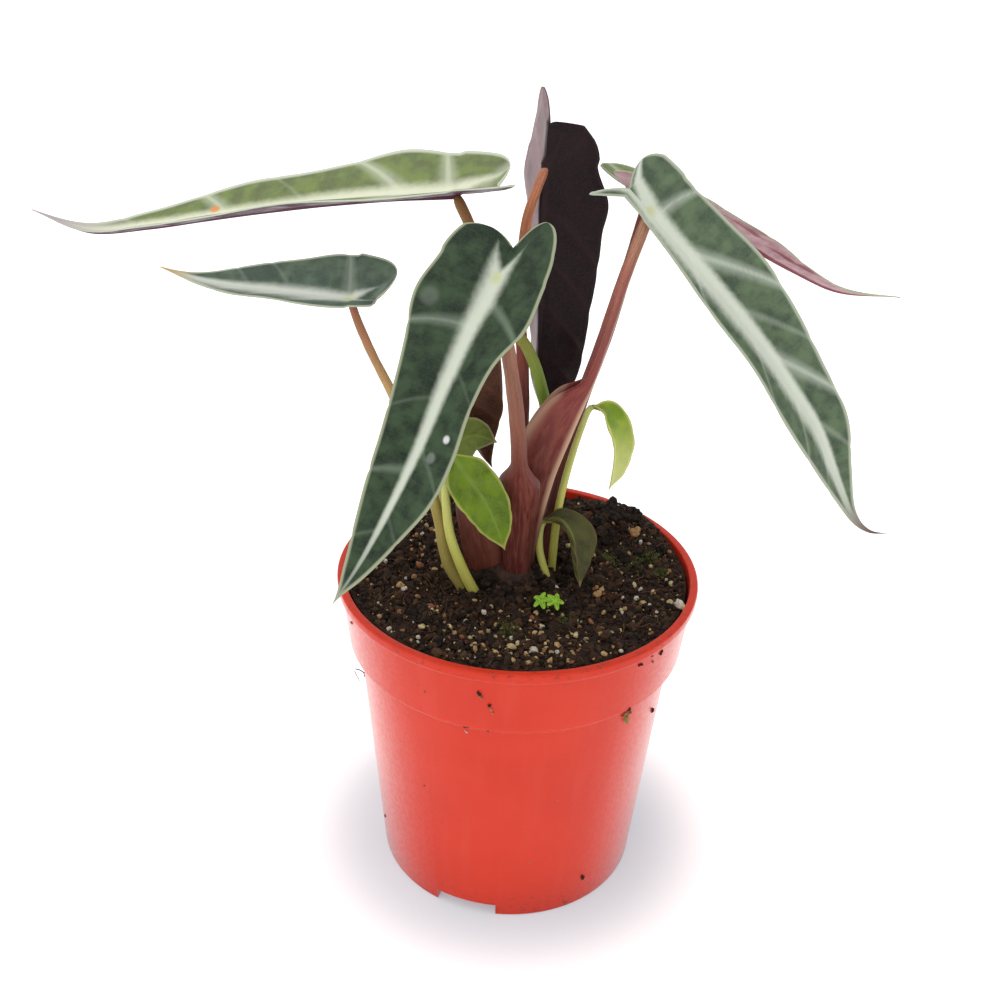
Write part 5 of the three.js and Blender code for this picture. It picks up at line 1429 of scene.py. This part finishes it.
def makeSeedling():
    s = seedling
    rings, around = s["rings"], s["around"]
    place = np.array(s["place"])
    points, faces, marks = [], [], []
    for side in (-1, 1):
        turnY = np.array(Matrix.Rotation(side * s["spread"], 3, "Y"))
        turnX = np.array(Matrix.Rotation(s["tilt"], 3, "X"))
        for sheet in (1, -1):
            start = len(points)
            for i in range(rings + 1):
                for k in range(around):
                    angle = 2 * math.pi * k / around
                    wide = s["size"] + s["deep"] * math.cos(s["lobes"] * angle)
                    reach = i / rings
                    lift = 0.5 * reach ** 2 - 0.25 * reach * math.cos(s["lobes"] * angle)
                    lift += sheet * 0.2 * (1 - reach ** 6)
                    out = reach * wide * s["squeeze"]
                    flat = np.array([out * math.cos(angle), out * math.sin(angle), lift])
                    points.append(turnX @ (turnY @ flat) + np.array([side * s["apart"], 0, 0]) + place)
                    marks.append((reach, abs(math.sin(s["lobes"] * angle / 2)) * reach, 0))
            for i in range(rings):
                for k in range(around):
                    a, b = start + i * around + k, start + i * around + (k + 1) % around
                    quad = (a, a + around, b + around, b)
                    faces.append(quad if sheet > 0 else quad[::-1])
    material, tree, shader = newMaterial("seedlingLeaf")
    part = partsOf(tree, readMark(tree, "tint"))
    spots = useGroup(tree, mottle, Scale=900.0, Speck=3200.0)
    skin = blendColor(tree, spots["Blotch"], s["dark"], s["green"])
    skin = wash(tree, skin, ramp(tree, part["Y"], 0.22, 0.02), 0.7, s["vein"])
    skin = wash(tree, skin, ramp(tree, part["X"], 0.8, 1.0), 0.5, s["vein"])
    tree.links.new(skin, shader.inputs["Base Color"])
    shader.inputs["Roughness"].default_value = 0.5
    addBump(tree, shader, spots["Speckle"], 0.4, 0.0002)
    leafMesh = weld(meshOf("seedling_leaves", np.array(points), faces, [material],
                           marks={"tint": np.array(marks)}))
    addPiece("seedling_leaves", leafMesh, "seedling", "seedling")
    points, faces, shares = threadPoints([(np.array(s["stem"]) + place, s["stemRadius"])], 12)
    stemMesh = meshOf("seedling_stem", points, faces, [material], marks=tints(0 * shares, 1))
    addPiece("seedling_stem", stemMesh, "seedling")


makeSeedling()


# dirt that clings to the pot, and a loose root on its collar

# the spots' angle in degrees, height, size and tone: 0 dark, 1 tan, 2 white
specks = {
    "spots": [(-100.3, 78.1, 0.7, 0), (-99.8, 77.2, 0.55, 0.6), (-96.6, 74.9, 0.55, 0), (-96.2, 73.6, 0.5, 1),
              (-96.0, 72.6, 0.4, 1), (-105.6, 65.2, 0.45, 0), (-105.4, 63.0, 0.5, 2),
              (-104.2, 65.8, 0.4, 0.3), (-97.5, 64.9, 0.4, 0.2), (-46.8, 63.2, 0.9, 0.8),
              (-45.2, 62.2, 1.1, 0.9), (-48.5, 66.4, 0.55, 0), (-43.5, 62.4, 0.6, 1), (-25.7, 55.8, 0.7, 0),
              (-24.6, 54.9, 0.5, 0), (-47.9, 80.3, 0.6, 0), (-41.5, 79.0, 0.5, 0.8), (-43.5, 81.4, 0.55, 0),
              (-38.0, 80.6, 0.55, 0), (-54.3, 9.4, 0.55, 0), (-53.9, 8.3, 0.4, 0), (-124.0, 40.0, 0.3, 0.4),
              (-62, 1.2, 0.5, 0.4), (-60.5, 1.0, 0.4, 0.9), (-80, 20, 0.25, 1), (-118, 74, 0.25, 0.5),
              (-71, 41, 0.22, 1), (40, 60, 0.5, 0.2), (75, 76, 0.6, 0.7), (120, 30, 0.45, 0),
              (160, 70, 0.6, 0.4), (200, 12, 0.5, 0), (205, 79, 0.5, 1), (95, 50, 0.3, 1),
              (-170, 55, 0.4, 0)],
    "seed": 4, "dark": (0.02, 0.009, 0.006), "tan": (0.40, 0.27, 0.11), "white": (0.8, 0.78, 0.74),
    "shade": (0.04, 0.02, 0.012),
}


def wallRadius(height):
    ledge = potHeight - pot["collar"]
    lipFoot = potHeight - pot["lip"]
    heights = [0, ledge - pot["shoulder"], ledge, lipFoot - 0.5, lipFoot, potHeight]
    widths = [pot["base"], pot["bodyTop"], pot["collarFoot"], pot["collarTop"], rimRadius, rimRadius]
    return float(np.interp(height, heights, widths))


def makeSpecks():
    draw = random.Random(specks["seed"])
    places, tones = [], []
    for angle, height, size, tone in specks["spots"]:
        for _ in range(3 if size > 0.5 else 2):
            turn = math.radians(angle + draw.gauss(0, 0.5 * size))
            z = height + draw.gauss(0, 0.45 * size)
            reach = wallRadius(z) + 0.15 * size
            x, y = reach * math.cos(turn), reach * math.sin(turn)
            places.append((x, y, z, size * draw.uniform(0.5, 0.95), 0.6))
            tones.append(tone)
    points, faces, each = lumps(draw, places, 2, 0.2)
    material, tree, shader = newMaterial("dirtSpeck")
    part = partsOf(tree, readMark(tree, "tint"))
    spots = useGroup(tree, mottle, Scale=1500.0, Speck=4000.0)
    skin = blendColor(tree, part["X"], specks["dark"], specks["tan"])
    skin = blendColor(tree, part["Y"], skin, specks["white"])
    skin = wash(tree, skin, spots["Blotch"], 0.4, specks["shade"])
    tree.links.new(skin, shader.inputs["Base Color"])
    shader.inputs["Roughness"].default_value = 0.9
    tones = np.repeat(np.array(tones, float), each)
    marks = tints(np.clip(tones, 0, 1), tones > 1.5)
    addPiece("pot_dirt", meshOf("pot_dirt", points, faces, [material], marks=marks), "soil")


looseRoot = {"path": [(-37.8, -7.4, 55.3), (-38.8, -7, 56.2), (-40, -7, 56.7), (-40.8, -7, 56.6),
                      (-40.4, -7, 55.2), (-39.4, -7, 53)],
             "radius": 0.16, "rough": 0.7,
             "colors": ((0.02, 0.01, 0.008), (0.07, 0.035, 0.025), (0.12, 0.06, 0.04))}


def makeRoot():
    points, faces, shares = threadPoints([(looseRoot["path"], looseRoot["radius"])], 6)
    skin = soilSkin("rootHair", *looseRoot["colors"], looseRoot["rough"])
    addPiece("loose_root", meshOf("loose_root", points, faces, [skin], marks=tints(shares)), "soil")


makeSpecks()
makeRoot()
print("crown, seedling and dirt ready")
